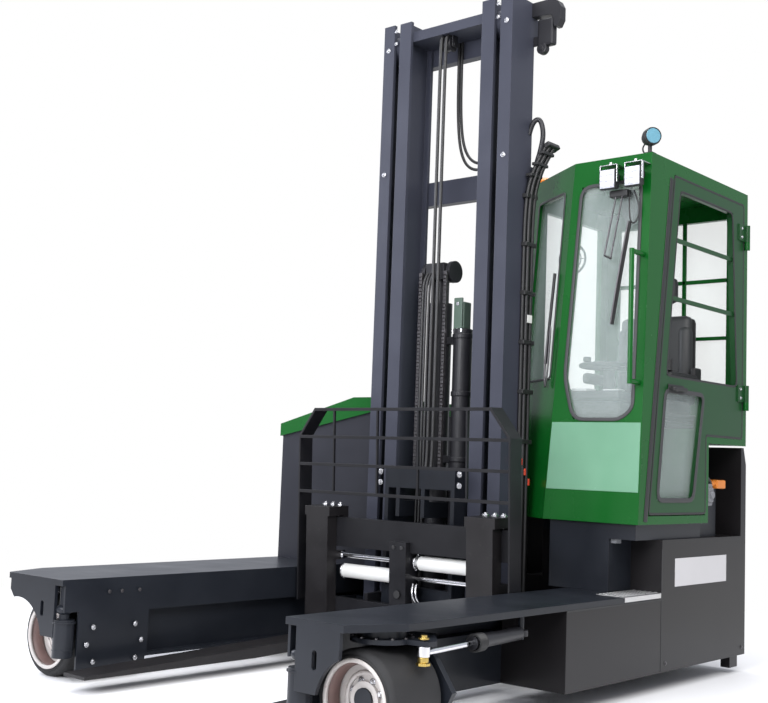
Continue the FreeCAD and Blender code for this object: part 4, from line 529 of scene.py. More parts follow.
# Rubber round the windows and the door
def add_seals():
    ahead, side = Vector((0, -1, 0.045)), (1, 0, 0)
    top, sill, edge = 2.44, 1.48, 0.052
    screen = [
        (corner_x(1.276) + 0.12, 1.276), (NEAR_X - 0.12, 1.276), (NEAR_X - edge, 1.328),
        (NEAR_X - edge, top), (corner_x(top) + edge, top), (corner_x(sill) + edge, sill),
    ]
    line = rounded([(x, screen_y(z), z) for x, z in screen], 0.06)
    strip("screen_seal", line, 0.018, 0.005, ahead, "seal_grey")
    slant = [(edge, sill), (0.376, sill), (0.376, top), (edge, top)]
    line = rounded([slant_at(a, z) for a, z in slant], 0.03)
    strip("slant_seal", line, 0.012, 0.004, -SLANT_IN, "seal_grey")
    face = NEAR_X + 0.002
    rail, rail_half, frame_wide, foot, head = 1.467, 0.035, 0.07, 0.9, 2.435
    lower = [
        (door_y(foot, frame_wide), foot), (door_y(rail - rail_half, frame_wide), rail - rail_half),
        (1.062 - 0.035, rail - rail_half), (1.062 - 0.14, foot),
    ]
    line = rounded([(face, y, z) for y, z in lower], 0.05)
    strip("lower_window_seal", line, 0.022, 0.006, side, "seal_grey", "door")
    upper = [
        (door_y(rail + rail_half, frame_wide), rail + rail_half), (door_y(head, frame_wide), head),
        (1.49 - 0.14, head), (1.49 - 0.07, rail + rail_half),
    ]
    line = rounded([(face - 0.003, y, z) for y, z in upper], 0.04)
    strip("upper_window_edge", line, 0.012, 0.004, side, "trim_black", "door")
    foot, head, step, gap = 0.836, 2.5, 1.23, 0.004
    outline = [
        (door_y(foot, gap), foot), (door_y(head, gap), head), (1.487, head), (1.487, step), (1.059, step),
        (1.059, foot),
    ]
    line = rounded([(NEAR_X, y, z) for y, z in outline], 0.02)
    strip("door_edge_seal", line, 0.012, 0.003, side, "trim_black")
    front = [(NEAR_X, door_y(z, -0.026), z) for z in (0.8, 1.2, 1.6, 2.0, 2.48)]
    strip("pillar_strip", front, 0.036, 0.004, side, "trim_black", closed=False)


# Wipers, mirror and fan of the cab, and the bars behind its glass
def add_wipers():
    for k, x in enumerate((0.955, 0.99)):
        line = [front_point(x + 0.012, 2.375, 0.028), front_point(x - 0.04, 2.075 - 0.02 * k, 0.03)]
        tube(f"wiper_rod_{k}", line, 0.004, "chain_steel", smooth=False)
    cover = (front_point(0.93, 2.36, 0.034), front_point(1.03, 2.395, -0.006), 0.006)
    blocks("wiper_motor_cover", [cover], "trim_black")
    link = [front_point(0.915, 2.075, 0.03), front_point(0.955, 2.055, 0.032)]
    tube("wiper_link", link, 0.005, "trim_black", smooth=False)
    top, foot = front_point(1.04, 2.235, 0.016), front_point(0.962, 1.735, 0.012)
    tube("wiper_blade", [top, foot], 0.009, "trim_black", smooth=False)
    spine = [(top, -0.014), ((top + foot) / 2, -0.024), (foot, -0.012)]
    spine = [place + Vector((0, ahead, 0)) for place, ahead in spine]
    tube("wiper_spine", spine, 0.005, "chain_steel")
    # second wiper, on the slanted window
    side_blade = [slant_at(0.068, 2.02, -0.016), slant_at(0.1, 1.56, -0.012)]
    tube("side_wiper_blade", side_blade, 0.008, "trim_black", smooth=False)
    loop = [
        (0.062, 1.44, -0.02), (0.085, 1.46, -0.02), (0.08, 1.7, -0.022), (0.055, 1.76, -0.022),
        (0.048, 1.7, -0.022), (0.05, 1.47, -0.02),
    ]
    tube("side_wiper_arm", [slant_at(*place) for place in loop], 0.005, "chain_steel", cyclic=True)


def add_cab_front():
    add_wipers()
    bm = bmesh.new()
    x, z, half = 0.985, 2.33, (0.048, 0.014, 0.085)
    made = bmesh.ops.create_uvsphere(bm, u_segments=24, v_segments=16, radius=1)["verts"]
    for vert in made:
        vert.co = Vector([at * size for at, size in zip(vert.co, half)]) + Vector((x, screen_y(z) + 0.075, z))
    disc(bm, (x, screen_y(z) + 0.085, 2.44), 0.006, 0.13, "z", 12)
    add("inner_mirror", bm, "trim_black", smooth=True)
    bm = bmesh.new()
    centre = Vector((0.585, 0.64, 2.12))
    for ring, thick in ((0.078, 0.006), (0.052, 0.003), (0.026, 0.003)):
        lathe(bm, round_section(ring, thick), centre, "y", 32)
    disc(bm, centre, 0.02, 0.03, "y", 20)
    for along, rise in ring_of(8, 1):
        spoke = Vector((along, 0, rise))
        disc(bm, centre + spoke * 0.048, 0.0018, 0.06, spoke, 6)
    disc(bm, centre + Vector((-0.02, 0.03, -0.06)), 0.007, 0.1, "z", 10)
    add("cab_fan", bm, "trim_black", smooth=True)
    bars = [
        ((0.77, 1.5, 1.48), (0.792, 1.516, 2.44), 0.003),
        ((0.358, 1.5, 1.77), (1.034, 1.516, 1.79), 0.003),
        ((0.358, 1.5, 2.09), (1.034, 1.516, 2.112), 0.003),
    ]
    blocks("rear_window_bars", bars, "cab_green")


# Roof lamps and beacon
def add_lamps():
    bm, lens, metal = bmesh.new(), bmesh.new(), bmesh.new()
    for x in (0.949, 1.085):
        block(bm, (x - 0.044, 0.357, 2.39), (x + 0.044, 0.384, 2.49), 0.006)
        for k in range(3):
            y = 0.386 + 0.009 * k
            block(bm, (x - 0.036, y, 2.4), (x + 0.036, y + 0.004, 2.48), 0.001)
        block(bm, (x - 0.018, 0.38, 2.45), (x + 0.018, 0.452, 2.478), 0.003)
        block(lens, (x - 0.039, 0.354, 2.395), (x + 0.039, 0.359, 2.485), 0.002)
        for k in range(9):
            row, col = divmod(k, 3)
            place = (x - 0.026 + 0.026 * col, 0.353, 2.411 + 0.029 * row)
            disc(lens, place, 0.0115, 0.004, "y", 20, bevel=0.001)
        block(metal, (x - 0.048, 0.366, 2.425), (x - 0.044, 0.382, 2.512), 0.001)
        block(metal, (x + 0.044, 0.366, 2.425), (x + 0.048, 0.382, 2.512), 0.001)
        block(metal, (x - 0.048, 0.366, 2.509), (x + 0.048, 0.452, 2.513), 0.001)
        bolt(metal, (x, 0.39, 2.513), "z", 0.009, 0.014)
    bodies = add("work_lamp_bodies", bm, "trim_black")
    add("work_lamp_lenses", lens, "lamp_lens", smooth=True)
    add("work_lamp_brackets", metal, "bolt_steel")
    bm = bmesh.new()
    centre, aim = Vector((1.108, 0.485, 2.652)), Vector((0.8, -0.6, 0))
    shell = [
        (0.0, 0.04), (0.02, 0.038), (0.034, 0.026), (0.043, 0.0), (0.044, -0.03), (0.041, -0.04),
        (0.038, -0.034), (0.0, -0.03),
    ]
    lathe(bm, shell, (0, 0, 0), "y", 40)
    move(bm.verts, aim.to_track_quat("-Y", "Z").to_matrix(), centre)
    disc(bm, (centre.x, centre.y, 2.59), 0.01, 0.045, "z", 16)
    block(bm, (1.084, 0.462, 2.569), (1.132, 0.508, 2.576), 0.002)
    add("spot_lamp_body", bm, "trim_black")
    bm = bmesh.new()
    disc(bm, centre + aim.normalized() * 0.036, 0.037, 0.006, aim, 32, bevel=0.002)
    add("spot_lamp_lens", bm, "spot_lens")
    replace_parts(bodies, "lamps")
    cable = [(1.1, 0.5, 2.64), (1.06, 0.52, 2.64), (1.055, 0.5, 2.595), (1.08, 0.5, 2.573)]
    held("spot_lamp_lead", cable, 0.004, "chassis")
    lead = [
        (1.06, 2.385, 0.025), (1.088, 2.33, 0.025), (1.092, 2.25, 0.022), (1.062, 2.215, 0.02),
        (1.034, 2.25, 0.018), (1.03, 2.38, 0.012),
    ]
    lead = [front_point(*place) for place in lead]
    held("work_lamp_lead", lead, 0.004, "chassis")
    beacon = (0.304, 0.7943)
    dome = [(0, 0.046), (0.02, 0.044), (0.034, 0.036), (0.042, 0.02), (0.044, 0.006), (0.044, 0), (0, 0)]
    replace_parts(turned("beacon_dome", dome, (*beacon, 2.575), "z", 40, "amber"), "beacon")
    bm = bmesh.new()
    disc(bm, (*beacon, 2.5735), 0.05, 0.007, "z", 40, bevel=0.001)
    add("beacon_base", bm, "trim_black")


def add_door_details():
    face = NEAR_X + 0.002
    handle = [
        ((face, 0.64, 1.418), (face + 0.008, 0.8, 1.462), 0.004),
        ((face + 0.02, 0.655, 1.43), (face + 0.034, 0.79, 1.45), 0.006),
    ]
    for y in (0.662, 0.78):
        handle.append(((face + 0.006, y - 0.01, 1.43), (face + 0.028, y + 0.01, 1.45), 0.004))
    blocks("door_handle", handle, "trim_black", "door")
    bm = bmesh.new()
    disc(bm, (face + 0.01, 0.722, 1.44), 0.009, 0.006, "x", 20, bevel=0.001)
    for z in (1.446, 1.494, 2.321, 2.369):
        bolt(bm, (face + 0.008, 1.45, z), "x", 0.006, 0.005)
    add("door_lock_and_bolts", bm, "bolt_steel", "door")


# Inside the cab: cushions, head rest, console and steering wheel
SEAT_SHELL = [
    ((0.474, 0.915, 1.302), (0.934, 1.395, 1.345), 0.012),
    ((0.486, 1.33, 1.4), (0.922, 1.398, 1.88), 0.028),
]
CUSHIONS = {
    "seat_cushion": [
        ((0.48, 0.907, 1.335), (0.928, 1.33, 1.4), 0.03),
        ((0.48, 0.912, 1.345), (0.56, 1.325, 1.415), 0.03),
        ((0.848, 0.912, 1.345), (0.928, 1.325, 1.415), 0.03),
    ],
    "seat_backrest": [
        ((0.492, 1.3, 1.4), (0.916, 1.372, 1.89), 0.032),
        ((0.484, 1.285, 1.42), (0.556, 1.36, 1.83), 0.032),
        ((0.852, 1.285, 1.42), (0.924, 1.36, 1.83), 0.032),
    ],
    "seat_head_rest": [((0.584, 1.31, 1.962), (0.824, 1.38, 2.108), 0.034)],
}


def add_seat():
    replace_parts(blocks("seat_shell", SEAT_SHELL, "trim_black"), "driver_seat")
    for name, corners in CUSHIONS.items():
        blocks(name, corners, "seat_cover", smooth=True)
    bm = bmesh.new()
    for x in (0.664, 0.744):
        disc(bm, (x, 1.35, 1.925), 0.007, 0.11, "z", 12)
    add("head_rest_posts", bm, "chrome_rod", smooth=True)
    bm = bmesh.new()
    block(bm, (0.926, 0.99, 1.5), (0.98, 1.3, 1.56), 0.02)
    block(bm, (0.44, 0.99, 1.5), (0.482, 1.3, 1.56), 0.018)
    block(bm, (0.936, 1.28, 1.5), (0.966, 1.36, 1.6), 0.01)
    disc(bm, (0.955, 1.01, 1.59), 0.016, 0.06, "z", 16, bevel=0.004)
    add("arm_rests", bm, "trim_black")


def add_console():
    """The base under the seat, the dash, the column and the steering wheel as one piece, and the display."""
    x, y = 0.834, 0.607
    bm = bmesh.new()
    block(bm, (0.464, 1.005, 1.262), (0.944, 1.405, 1.3), 0.006)
    block(bm, (0.686, 0.46, 0.827), (0.982, 0.755, 1.372), 0.014)
    block(bm, (0.684, 0.445, 1.37), (0.984, 0.757, 1.42), 0.018)
    disc(bm, (x, y, 1.47), 0.028, 0.12, "z", 24)
    disc(bm, (x, y, 1.43), 0.044, 0.03, "z", 24, radius2=0.03)
    lathe(bm, round_section(0.138, 0.012), (x, y, 1.552), "z", 48)
    disc(bm, (x, y, 1.548), 0.036, 0.022, "z", 24, bevel=0.004)
    for dx, dy in ring_of(3, 1, 0.75):
        spoke = Vector((dx, dy, 0))
        disc(bm, Vector((x, y, 1.55)) + spoke * 0.082, 0.008, 0.11, spoke, 10)
    disc(bm, (0.736, 0.56, 1.585), 0.02, 0.026, "z", 20, bevel=0.006)
    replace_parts(add("console_and_wheel", bm, "trim_black"), "cab_console")
    display = [
        ((0.706, 0.47, 1.4195), (0.79, 0.56, 1.434), 0.004),
        ((0.88, 0.47, 1.4195), (0.965, 0.54, 1.428), 0.004),
    ]
    blocks("dash_display", display, "label_grey")


# Mast: hoses, chains, sheaves, clamps and bolts
def chain_strand(name, x, y, low, high):
    """A leaf chain as a stack of link plates between two heights."""
    bm = bmesh.new()
    pitch, half, deep, wide, narrow = 0.019, 0.012, 0.008, 0.0095, 0.008
    for k in range(int((high - low) / pitch)):
        z = low + pitch * (k + 0.5)
        out = wide if k % 2 else narrow
        block(bm, (x - out, y - deep, z - half), (x + out, y + deep, z + half), 0)
    return show(name, as_mesh(bm, name), "chain_steel")


def add_lift_hoses():
    """Hoses over the sheave, loops behind the lift carriage, and the two chains."""
    # from the lift carriage's upper bar, in front of the ram, over the sheave under the top bar
    hose_y, sheave_z, sheave_r = 0.222, 3.278, 0.045
    for k, x in enumerate((-0.004, 0.029)):
        points = [(x, 0.142, 0.96), (x, 0.2, 0.965), (x, hose_y, 1.02)]
        points += [(x, hose_y, z) for z in (1.4, 2.0, 2.6, sheave_z)]
        points += [(x, hose_y + 0.01, 3.316), (x, 0.262, 3.326)]
        hose = mesh_tube(f"mast_hose_{k}", points, 0.009, "hose_black")
        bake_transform(hose)
    bm = bmesh.new()
    wheel = [
        (0.0, -0.028), (sheave_r - 0.012, -0.028), (sheave_r - 0.006, -0.024), (sheave_r - 0.014, -0.014),
        (sheave_r - 0.014, 0.014), (sheave_r - 0.006, 0.024), (sheave_r - 0.012, 0.028), (0.0, 0.028),
    ]
    sheave = Vector((0.012, 0.274, sheave_z))
    lathe(bm, wheel, sheave, "x", 48)
    for x in (-0.026, 0.044):
        block(bm, (x, 0.254, 3.262), (x + 0.006, 0.3, 3.33), 0.002)
    disc(bm, sheave, 0.01, 0.084, "x", 20)
    add("hose_sheave", bm, "cylinder_black", "inner_stage")
    # behind the lift carriage, from the top bar's rear face to the near rail
    bend_y = 0.3885
    for k, x in enumerate((-0.008, 0.012)):
        rise = 0.034 * k
        bend = [
            (x, 3.372), (x, 3.2), (x + 0.004, 2.9), (x + 0.034, 2.69 + 0.03 * k),
            (x + 0.11, 2.6 + rise), (0.22, 2.606 + rise), (0.348, 2.65 + rise),
        ]
        bend = [(across, bend_y, z) for across, z in bend]
        held(f"mast_bend_{k}", bend, 0.008, "inner_stage")
    bm = bmesh.new()
    block(bm, (-0.024, 0.376, 3.336), (0.028, 0.397, 3.356), 0.003)
    for k in range(2):
        disc(bm, (0.326, bend_y, 2.646 + 0.034 * k), 0.0092, 0.03, "x", 12)
    add("mast_fittings", bm, "bolt_steel", "inner_stage")
    # leaf chains from the ram's head to the lift carriage
    anchor, head_middle, chain_y = 1.012, 2.045, 0.236
    for side, x in (("near", 0.069), ("far", -0.095)):
        front = chain_strand(f"{side}_chain_front", x, chain_y, anchor, head_middle)
        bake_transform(front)


def add_side_pipe():
    """The pipe and valve beside the ram, and the ram's hoses."""
    pipe = (0.136, 0.312)
    bm = bmesh.new()
    disc(bm, (*pipe, 1.01), 0.05, 1.456, "z", 40, bevel=0.004)
    for z in (0.3, 1.06, 1.4, 1.7):
        disc(bm, (*pipe, z), 0.055, 0.026, "z", 40, bevel=0.004)
    block(bm, (0.046, 0.29, 1.04), (0.13, 0.334, 1.08), 0.004)
    block(bm, (0.046, 0.29, 1.66), (0.13, 0.334, 1.7), 0.004)
    add("side_pipe", bm, "cylinder_black", "inner_stage")
    valve = [
        ((0.104, 0.268, 1.738), (0.158, 0.28, 1.9), 0.003),
        ((0.1, 0.28, 1.736), (0.162, 0.344, 1.88), 0.006),
    ]
    blocks("side_valve", valve, "valve_grey", "inner_stage")
    bm = bmesh.new()
    disc(bm, (0.131, 0.266, 1.868), 0.01, 0.006, "y", 24)
    for x in (0.1, 0.128, 0.156):
        disc(bm, (x, 0.27, 1.728), 0.006, 0.02, "z", 12)
    add("side_valve_bolts", bm, "bolt_steel", "inner_stage")
    run_y = 0.226
    for k in range(3):
        x = -0.072 + 0.02 * k
        line = [(x + 0.012, 0.25, 2.04), (x + 0.004, 0.228, 2.01), (x, run_y, 1.9)]
        line += [(x, run_y, z) for z in (1.3, 0.7, 0.33)]
        line += [(x, 0.232, 0.236), (x, 0.328, 0.222)]
        hose = mesh_tube(f"ram_hose_{k}", line, 0.007, "hose_black")
        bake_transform(hose)
    bm = bmesh.new()
    for x, z in ((-0.353, 3.3), (-0.353, 2.6), (0.441, 2.6), (0.441, 3.3)):
        bolt(bm, (x, 0.197, z), (0, -1, 0), 0.009, 0.007)
    for x in (-0.3, 0.388):
        for z in (3.33, 3.4):
            bolt(bm, (x, 0.197, z), (0, -1, 0), 0.007, 0.006)
    add("mast_bolts_inner", bm, "bolt_steel", "inner_stage")


def add_rail_hoses():
    """The hose bundle on the near outer rail, with its ties, clamps, tag, fittings and bracket."""
    body, foot, head = "reach_carriage", 0.3, 2.46
    for k in range(5):
        x, y = 0.486 + 0.011 * (k % 2), 0.338 + 0.018 * k
        line = [(x, y, z) for z in (foot, 1.0, 1.6, 2.2)]
        line += [
            (x + 0.003, y + 0.004, head - 0.08), (x + 0.01, y + 0.018, head + 0.02),
            (x + 0.034, y + 0.045, head + 0.13), (x + 0.062, y + 0.082, head + 0.215),
        ]
        tube(f"rail_hose_{k}", line, 0.0095, "hose_black", body)
    loop = [
        (0.472, 0.38, 2.74), (0.486, 0.384, 2.806), (0.526, 0.398, 2.824), (0.546, 0.404, 2.74),
        (0.53, 0.4, 2.65), (0.506, 0.396, 2.575), (0.5, 0.395, 2.52),
    ]
    tube("rail_pipe_bend", loop, 0.013, "cylinder_black", body)
    bm = bmesh.new()
    for k in range(3):
        mid = Vector((0.5 + 0.02 * k, 0.392 + 0.022 * k, head + 0.06 + 0.06 * k))
        block(bm, mid - Vector((0.016, 0.052, 0.008)), mid + Vector((0.02, 0.05, 0.008)), 0.003)
    block(bm, (0.532, 0.408, 2.668), (0.578, 0.514, 2.694), 0.006, turn=Matrix.Rotation(-0.45, 3, "Y"))
    add("bundle_ties", bm, "trim_black", body)
    heights = (1.15, 1.4, 1.65, 1.9, 2.15, 2.4)
    clamps = [((0.474, 0.326, z), (0.509, 0.422, z + 0.022), 0.003) for z in heights]
    blocks("rail_clamps", clamps, "trim_black", body)
    blocks("rail_tag", [((0.507, 0.352, 1.76), (0.5095, 0.394, 1.8), 0.0005)], "barrel_white", body)
    bm = bmesh.new()
    for k in range(3):
        disc(bm, (0.494, 0.34 + 0.034 * k, 1.06 - 0.05 * k), 0.0135, 0.034, "z", 12, bevel=0.002)
    add("rail_fittings", bm, "plug_red", body)
    # plate with a rounded end behind the rail's top, and its block and knob
    bm = bmesh.new()
    outline = [
        (0.474, 3.436), (0.596, 3.436), (0.632, 3.418), (0.65, 3.384), (0.65, 3.318), (0.632, 3.286),
        (0.612, 3.286), (0.604, 3.336), (0.586, 3.356), (0.474, 3.362),
    ]
    prism(bm, outline, 0.372, 0.42)
    block(bm, (0.508, 0.374, 3.196), (0.606, 0.418, 3.345), 0.012)
    block(bm, (0.474, 0.39, 3.21), (0.512, 0.404, 3.26), 0.003)
    for radius, length, bevel, sides in ((0.03, 0.036, 0.006, 28), (0.012, 0.044, 0.002, 20)):
        disc(bm, (0.536, 0.392, 3.186), radius, length, "y", sides, bevel=bevel)
    add("rail_bracket", bm, "cylinder_black", body)


# Fork carriage: cap bolts, black discs of painted shade in the plate's holes, hoses and fittings
def add_carriage():
    for body, sign in (("near_fork_body", 1), ("far_fork_body", -1)):
        bm = bmesh.new()
        centre = FORK_X + 0.525 * sign
        for dx in (-0.05, 0.004, 0.056):
            disc(bm, (centre + dx, 0.03, 0.8), 0.017, 0.012, "z", 6, bevel=0.002)
            disc(bm, (centre + dx, 0.03, 0.809), 0.009, 0.01, "z", 16, bevel=0.002)
        block(bm, (centre - 0.08, -0.006, 0.742), (centre + 0.08, 0.0, 0.748), 0.001)
        add(f"{body}_cap_bolts", bm, "bolt_steel", body)
    # black discs where the carriage plate has holes: painted shade inside the holes
    bm = bmesh.new()
    for x in (0.018, 0.07):
        disc(bm, (x, -0.049, 0.614), 0.01, 0.004, "y", 20)
    disc(bm, (0.05, -0.049, 0.385), 0.019, 0.004, "y", 24)
    add("plate_hole_shade", bm, "trim_black", "tilt_frame")
    for k in range(2):
        x = 0.12 + 0.022 * k
        line = [(x, -0.01, 0.44), (x + 0.008, -0.03, 0.415)]
        line += [(x + 0.018, -0.028, 0.37), (x + 0.012, 0.01, 0.345)]
        tube(f"spread_hose_{k}", line, 0.005, "bolt_steel", "tilt_frame")
        line = [(x - 0.03, 0.01, 0.345), (x - 0.05, 0.0, 0.395), (x - 0.04, 0.03, 0.43)]
        tube(f"spread_pipe_{k}", line, 0.006, "hose_black", "tilt_frame")
    bm = bmesh.new()
    for x, z in ((0.484, 0.542), (-0.376, 0.464)):
        disc(bm, (x, 0.034, z), 0.041, 0.012, "x", 32, bevel=0.003)
    for x, z in ((0.11, 0.542), (-0.022, 0.464)):
        disc(bm, (x, 0.034, z), 0.04, 0.014, "x", 32, bevel=0.003)
        block(bm, (x - 0.01, 0.026, z + 0.034), (x + 0.01, 0.044, z + 0.05), 0.002)
    add("spread_ends", bm, "bolt_steel", "tilt_frame")
    places = [(x, 0.1045, z) for x in (-0.215, 0.3) for z in (0.985, 0.93)]
    bolts("lift_plate_bolts", places, (0, -1, 0), 0.01, 0.007, "bolt_steel", "lift_frame")
    places = [(x, -0.002, 0.7) for x in (-0.3, 0.18, 0.39)]
    bolts("beam_bolts", places, (0, -1, 0), 0.007, 0.005, "chain_steel", "tilt_frame")


# Arms: brass fittings, bolts, gussets and cover plates, and the steering cylinders' boots
def add_arms():
    pin_y, post_y = -1.225, -1.449
    cap = [(0, 0), (0.026, 0), (0.036, 0.008), (0.04, 0.02), (0.036, 0.032), (0.024, 0.04), (0, 0.042)]
    arms = [("near", 1, NEAR_WHEEL_X, 0.735), ("far", -1, FAR_WHEEL_X, FAR_ARM_INSIDE)]
    for name, sign, wheel_x, inside in arms:
        knuckle = f"{name}_wheel_mount"
        bm = bmesh.new()
        pin_x = wheel_x + 0.172 * sign
        disc(bm, (pin_x, pin_y, 0.417), 0.012, 0.014, "z", 6)
        disc(bm, (pin_x, pin_y, 0.412), 0.02, 0.006, "z", 24, bevel=0.001)
        disc(bm, (pin_x, pin_y, 0.338), 0.02, 0.022, "z", 24, bevel=0.004)
        disc(bm, (pin_x, pin_y, 0.322), 0.026, 0.01, "z", 6, bevel=0.001)
        add(f"{name}_pin_nut", bm, "brass", knuckle)
        middles = (wheel_x - 0.1, wheel_x + 0.1)
        gussets = [((x - 0.006, -1.095, 0.3), (x + 0.006, -1.062, 0.386), 0.002) for x in middles]
        blocks(f"{name}_gussets", gussets, "frame_paint", knuckle)
        bm = bmesh.new()
        for dx, dy in ring_of(12, 0.112):
            disc(bm, (wheel_x + dx, WHEEL_Y + dy, 0.4065), 0.007, 0.006, "z", 6)
        add(f"{name}_slew_bolts", bm, "chain_steel", knuckle)
        post_x = FORK_X + 0.743 * sign
        bm = bmesh.new()
        lathe(bm, cap, (post_x, post_y, 0.308), "z", 32)
        disc(bm, (post_x, post_y, 0.15), 0.0475, 0.008, "z", 32, bevel=0.001)
        add(f"{name}_post_cap", bm, "frame_paint", smooth=True)
        places = [(inside, y, 0.4) for y in (-1.25, -1.18, -1.08)]
        bolts(f"{name}_wall_bolts", places, (-sign, 0, 0), 0.006, 0.005, "chain_steel")
    cover = [
        (-1.327, 0.246), (-1.096, 0.245), (-1.057, 0.169), (-1.36, 0.171), (-1.088, 0.09), (-1.321, 0.093),
    ]
    places = [(FAR_ARM_INSIDE + 0.0005, y, z) for y, z in cover]
    bolts("cover_bolts", places, (1, 0, 0), 0.008, 0.006, "bolt_steel")


def add_boots():
    """Ribbed boots at the steering cylinders' mouths."""
    height, ribs, rib, wide, narrow, bore = 0.361, 9, 0.007, 0.036, 0.03, 0.0275
    profile = [(narrow if k % 2 else wide, rib * k) for k in range(ribs)]
    profile += [(bore, 0.056), (bore, 0.0)]
    rods = [("near", (1.142, -0.885), (1.084, -0.455)), ("far", (-1.05, -0.885), (-0.992, -0.455))]
    for name, low, high in rods:
        start, end = Vector((*low, height)), Vector((*high, height))
        way = (end - start).normalized()
        bm = bmesh.new()
        lathe(bm, profile, (0, 0, 0), "z", 32)
        move(bm.verts, way.to_track_quat("Z", "Y").to_matrix(), start + way * 0.004)
        add(f"{name}_boot", bm, "trim_black", f"{name}_cylinder")


# Near side: tread plate, blank label, isolator, plug and small fittings
def add_tread():
    x0, x1, y0, y1, z = 0.992, 1.134, 0.262, 0.602, 0.464
    rows, cols, edge = 11, 5, NEAR_X + 0.004

    def spot(row, col):
        return x0 + (x1 - x0) * col / cols, y0 + (y1 - y0) * row / rows

    bm = bmesh.new()
    block(bm, (x0, y0, 0.4615), (edge, y1, z), 0.0005)
    block(bm, (NEAR_X + 0.0005, y0, 0.44), (edge, y1, z), 0.0005)
    for r in range(rows):
        for c in range(cols):
            disc(bm, (*spot(r + 0.5, c + 0.5), z + 0.001), 0.01, 0.004, "z", 12, radius2=0.006)
    add("tread_studs", bm, "tread_plate")
    # black discs where the tread plate has holes: painted shade inside the holes
    bm = bmesh.new()
    for r in range(rows - 1):
        for c in range(cols - 1):
            disc(bm, (*spot(r + 1, c + 1), z + 0.0002), 0.006, 0.001, "z", 12)
    add("tread_hole_shade", bm, "trim_black")


def add_near_side():
    add_tread()
    label = [((NEAR_X - 0.001, 0.745, 0.485), (NEAR_X + 0.0016, 1.31, 0.62), 0.0005)]
    blocks("blank_label", label, "label_grey")
    bm = bmesh.new()
    block(bm, (1.06, 1.09, 0.87), (1.12, 1.19, 0.985), 0.01)
    block(bm, (1.12, 1.11, 0.89), (1.134, 1.17, 0.965), 0.008)
    disc(bm, (1.138, 1.14, 0.928), 0.02, 0.016, "x", 24, bevel=0.004)
    for y in (1.104, 1.176):
        disc(bm, (1.09, y, 0.995), 0.009, 0.03, "z", 16)
    add("isolator_box", bm, "isolator_grey")
    bm = bmesh.new()
    block(bm, (1.06, 1.23, 0.96), (1.125, 1.33, 1.005), 0.008)
    disc(bm, (1.1, 1.215, 0.985), 0.014, 0.04, "y", 16, bevel=0.003)
    plug = add("battery_plug", bm, "plug_orange")
    # the lead rises from the battery's lid, where a plate carries the isolator and the plug
    lead = [
        (1.04, 1.05, 0.668), (1.05, 1.06, 0.8), (1.076, 1.08, 0.95), (1.09, 1.11, 1.01),
        (1.1, 1.16, 1.02), (1.1, 1.196, 0.985),
    ]
    held("battery_lead", lead, 0.011, "chassis")
    plates = [
        ((1.052, 1.08, 0.668), (1.061, 1.345, 1.004), 0.002),
        ((1.052, 1.08, 0.668), (1.11, 1.345, 0.679), 0.002),
    ]
    blocks("isolator_plate", plates, "frame_paint")
    bracket = [
        ((0.93, 0.42, 0.69), (1.0, 0.47, 0.786), 0.004),
        ((0.925, 0.5, 0.76), (1.11, 0.56, 0.784), 0.004),
    ]
    blocks("pedestal_bracket", bracket, "isolator_grey")
    seams = [
        ((NEAR_X - 0.001, 0.61, 0.092), (NEAR_X + 0.0012, 0.618, 0.668), 0.0004),
        ((NEAR_X - 0.001, -0.22, 0.428), (NEAR_X + 0.0012, 0.61, 0.436), 0.0004),
    ]
    blocks("panel_seams", seams, "trim_black")
    # pale panel under the windscreen: a lighter copy of the cab green laid over the front, a painted
    # highlight where the lower front catches the light
    low, high, out = 0.935, 1.262, 0.0012
    left, right = 0.003, NEAR_X - 0.006
    corners = [(corner_x(low) + left, low), (right, low), (right, high), (corner_x(high) + left, high)]
    bm = bmesh.new()
    face = [front_point(x, z, out) for x, z in corners]
    bridge(bm, [bm.verts.new(c) for c in face], [bm.verts.new(c + Vector((0, 0.003, 0))) for c in face])
    add("cab_front_highlight_panel", bm, "cab_front_green_highlight")
    places = [(NEAR_X, y, 0.13) for y in (0.66, 1.505)]
    bolts("panel_bolts", places, (1, 0, 0), 0.007, 0.005, "chain_steel")


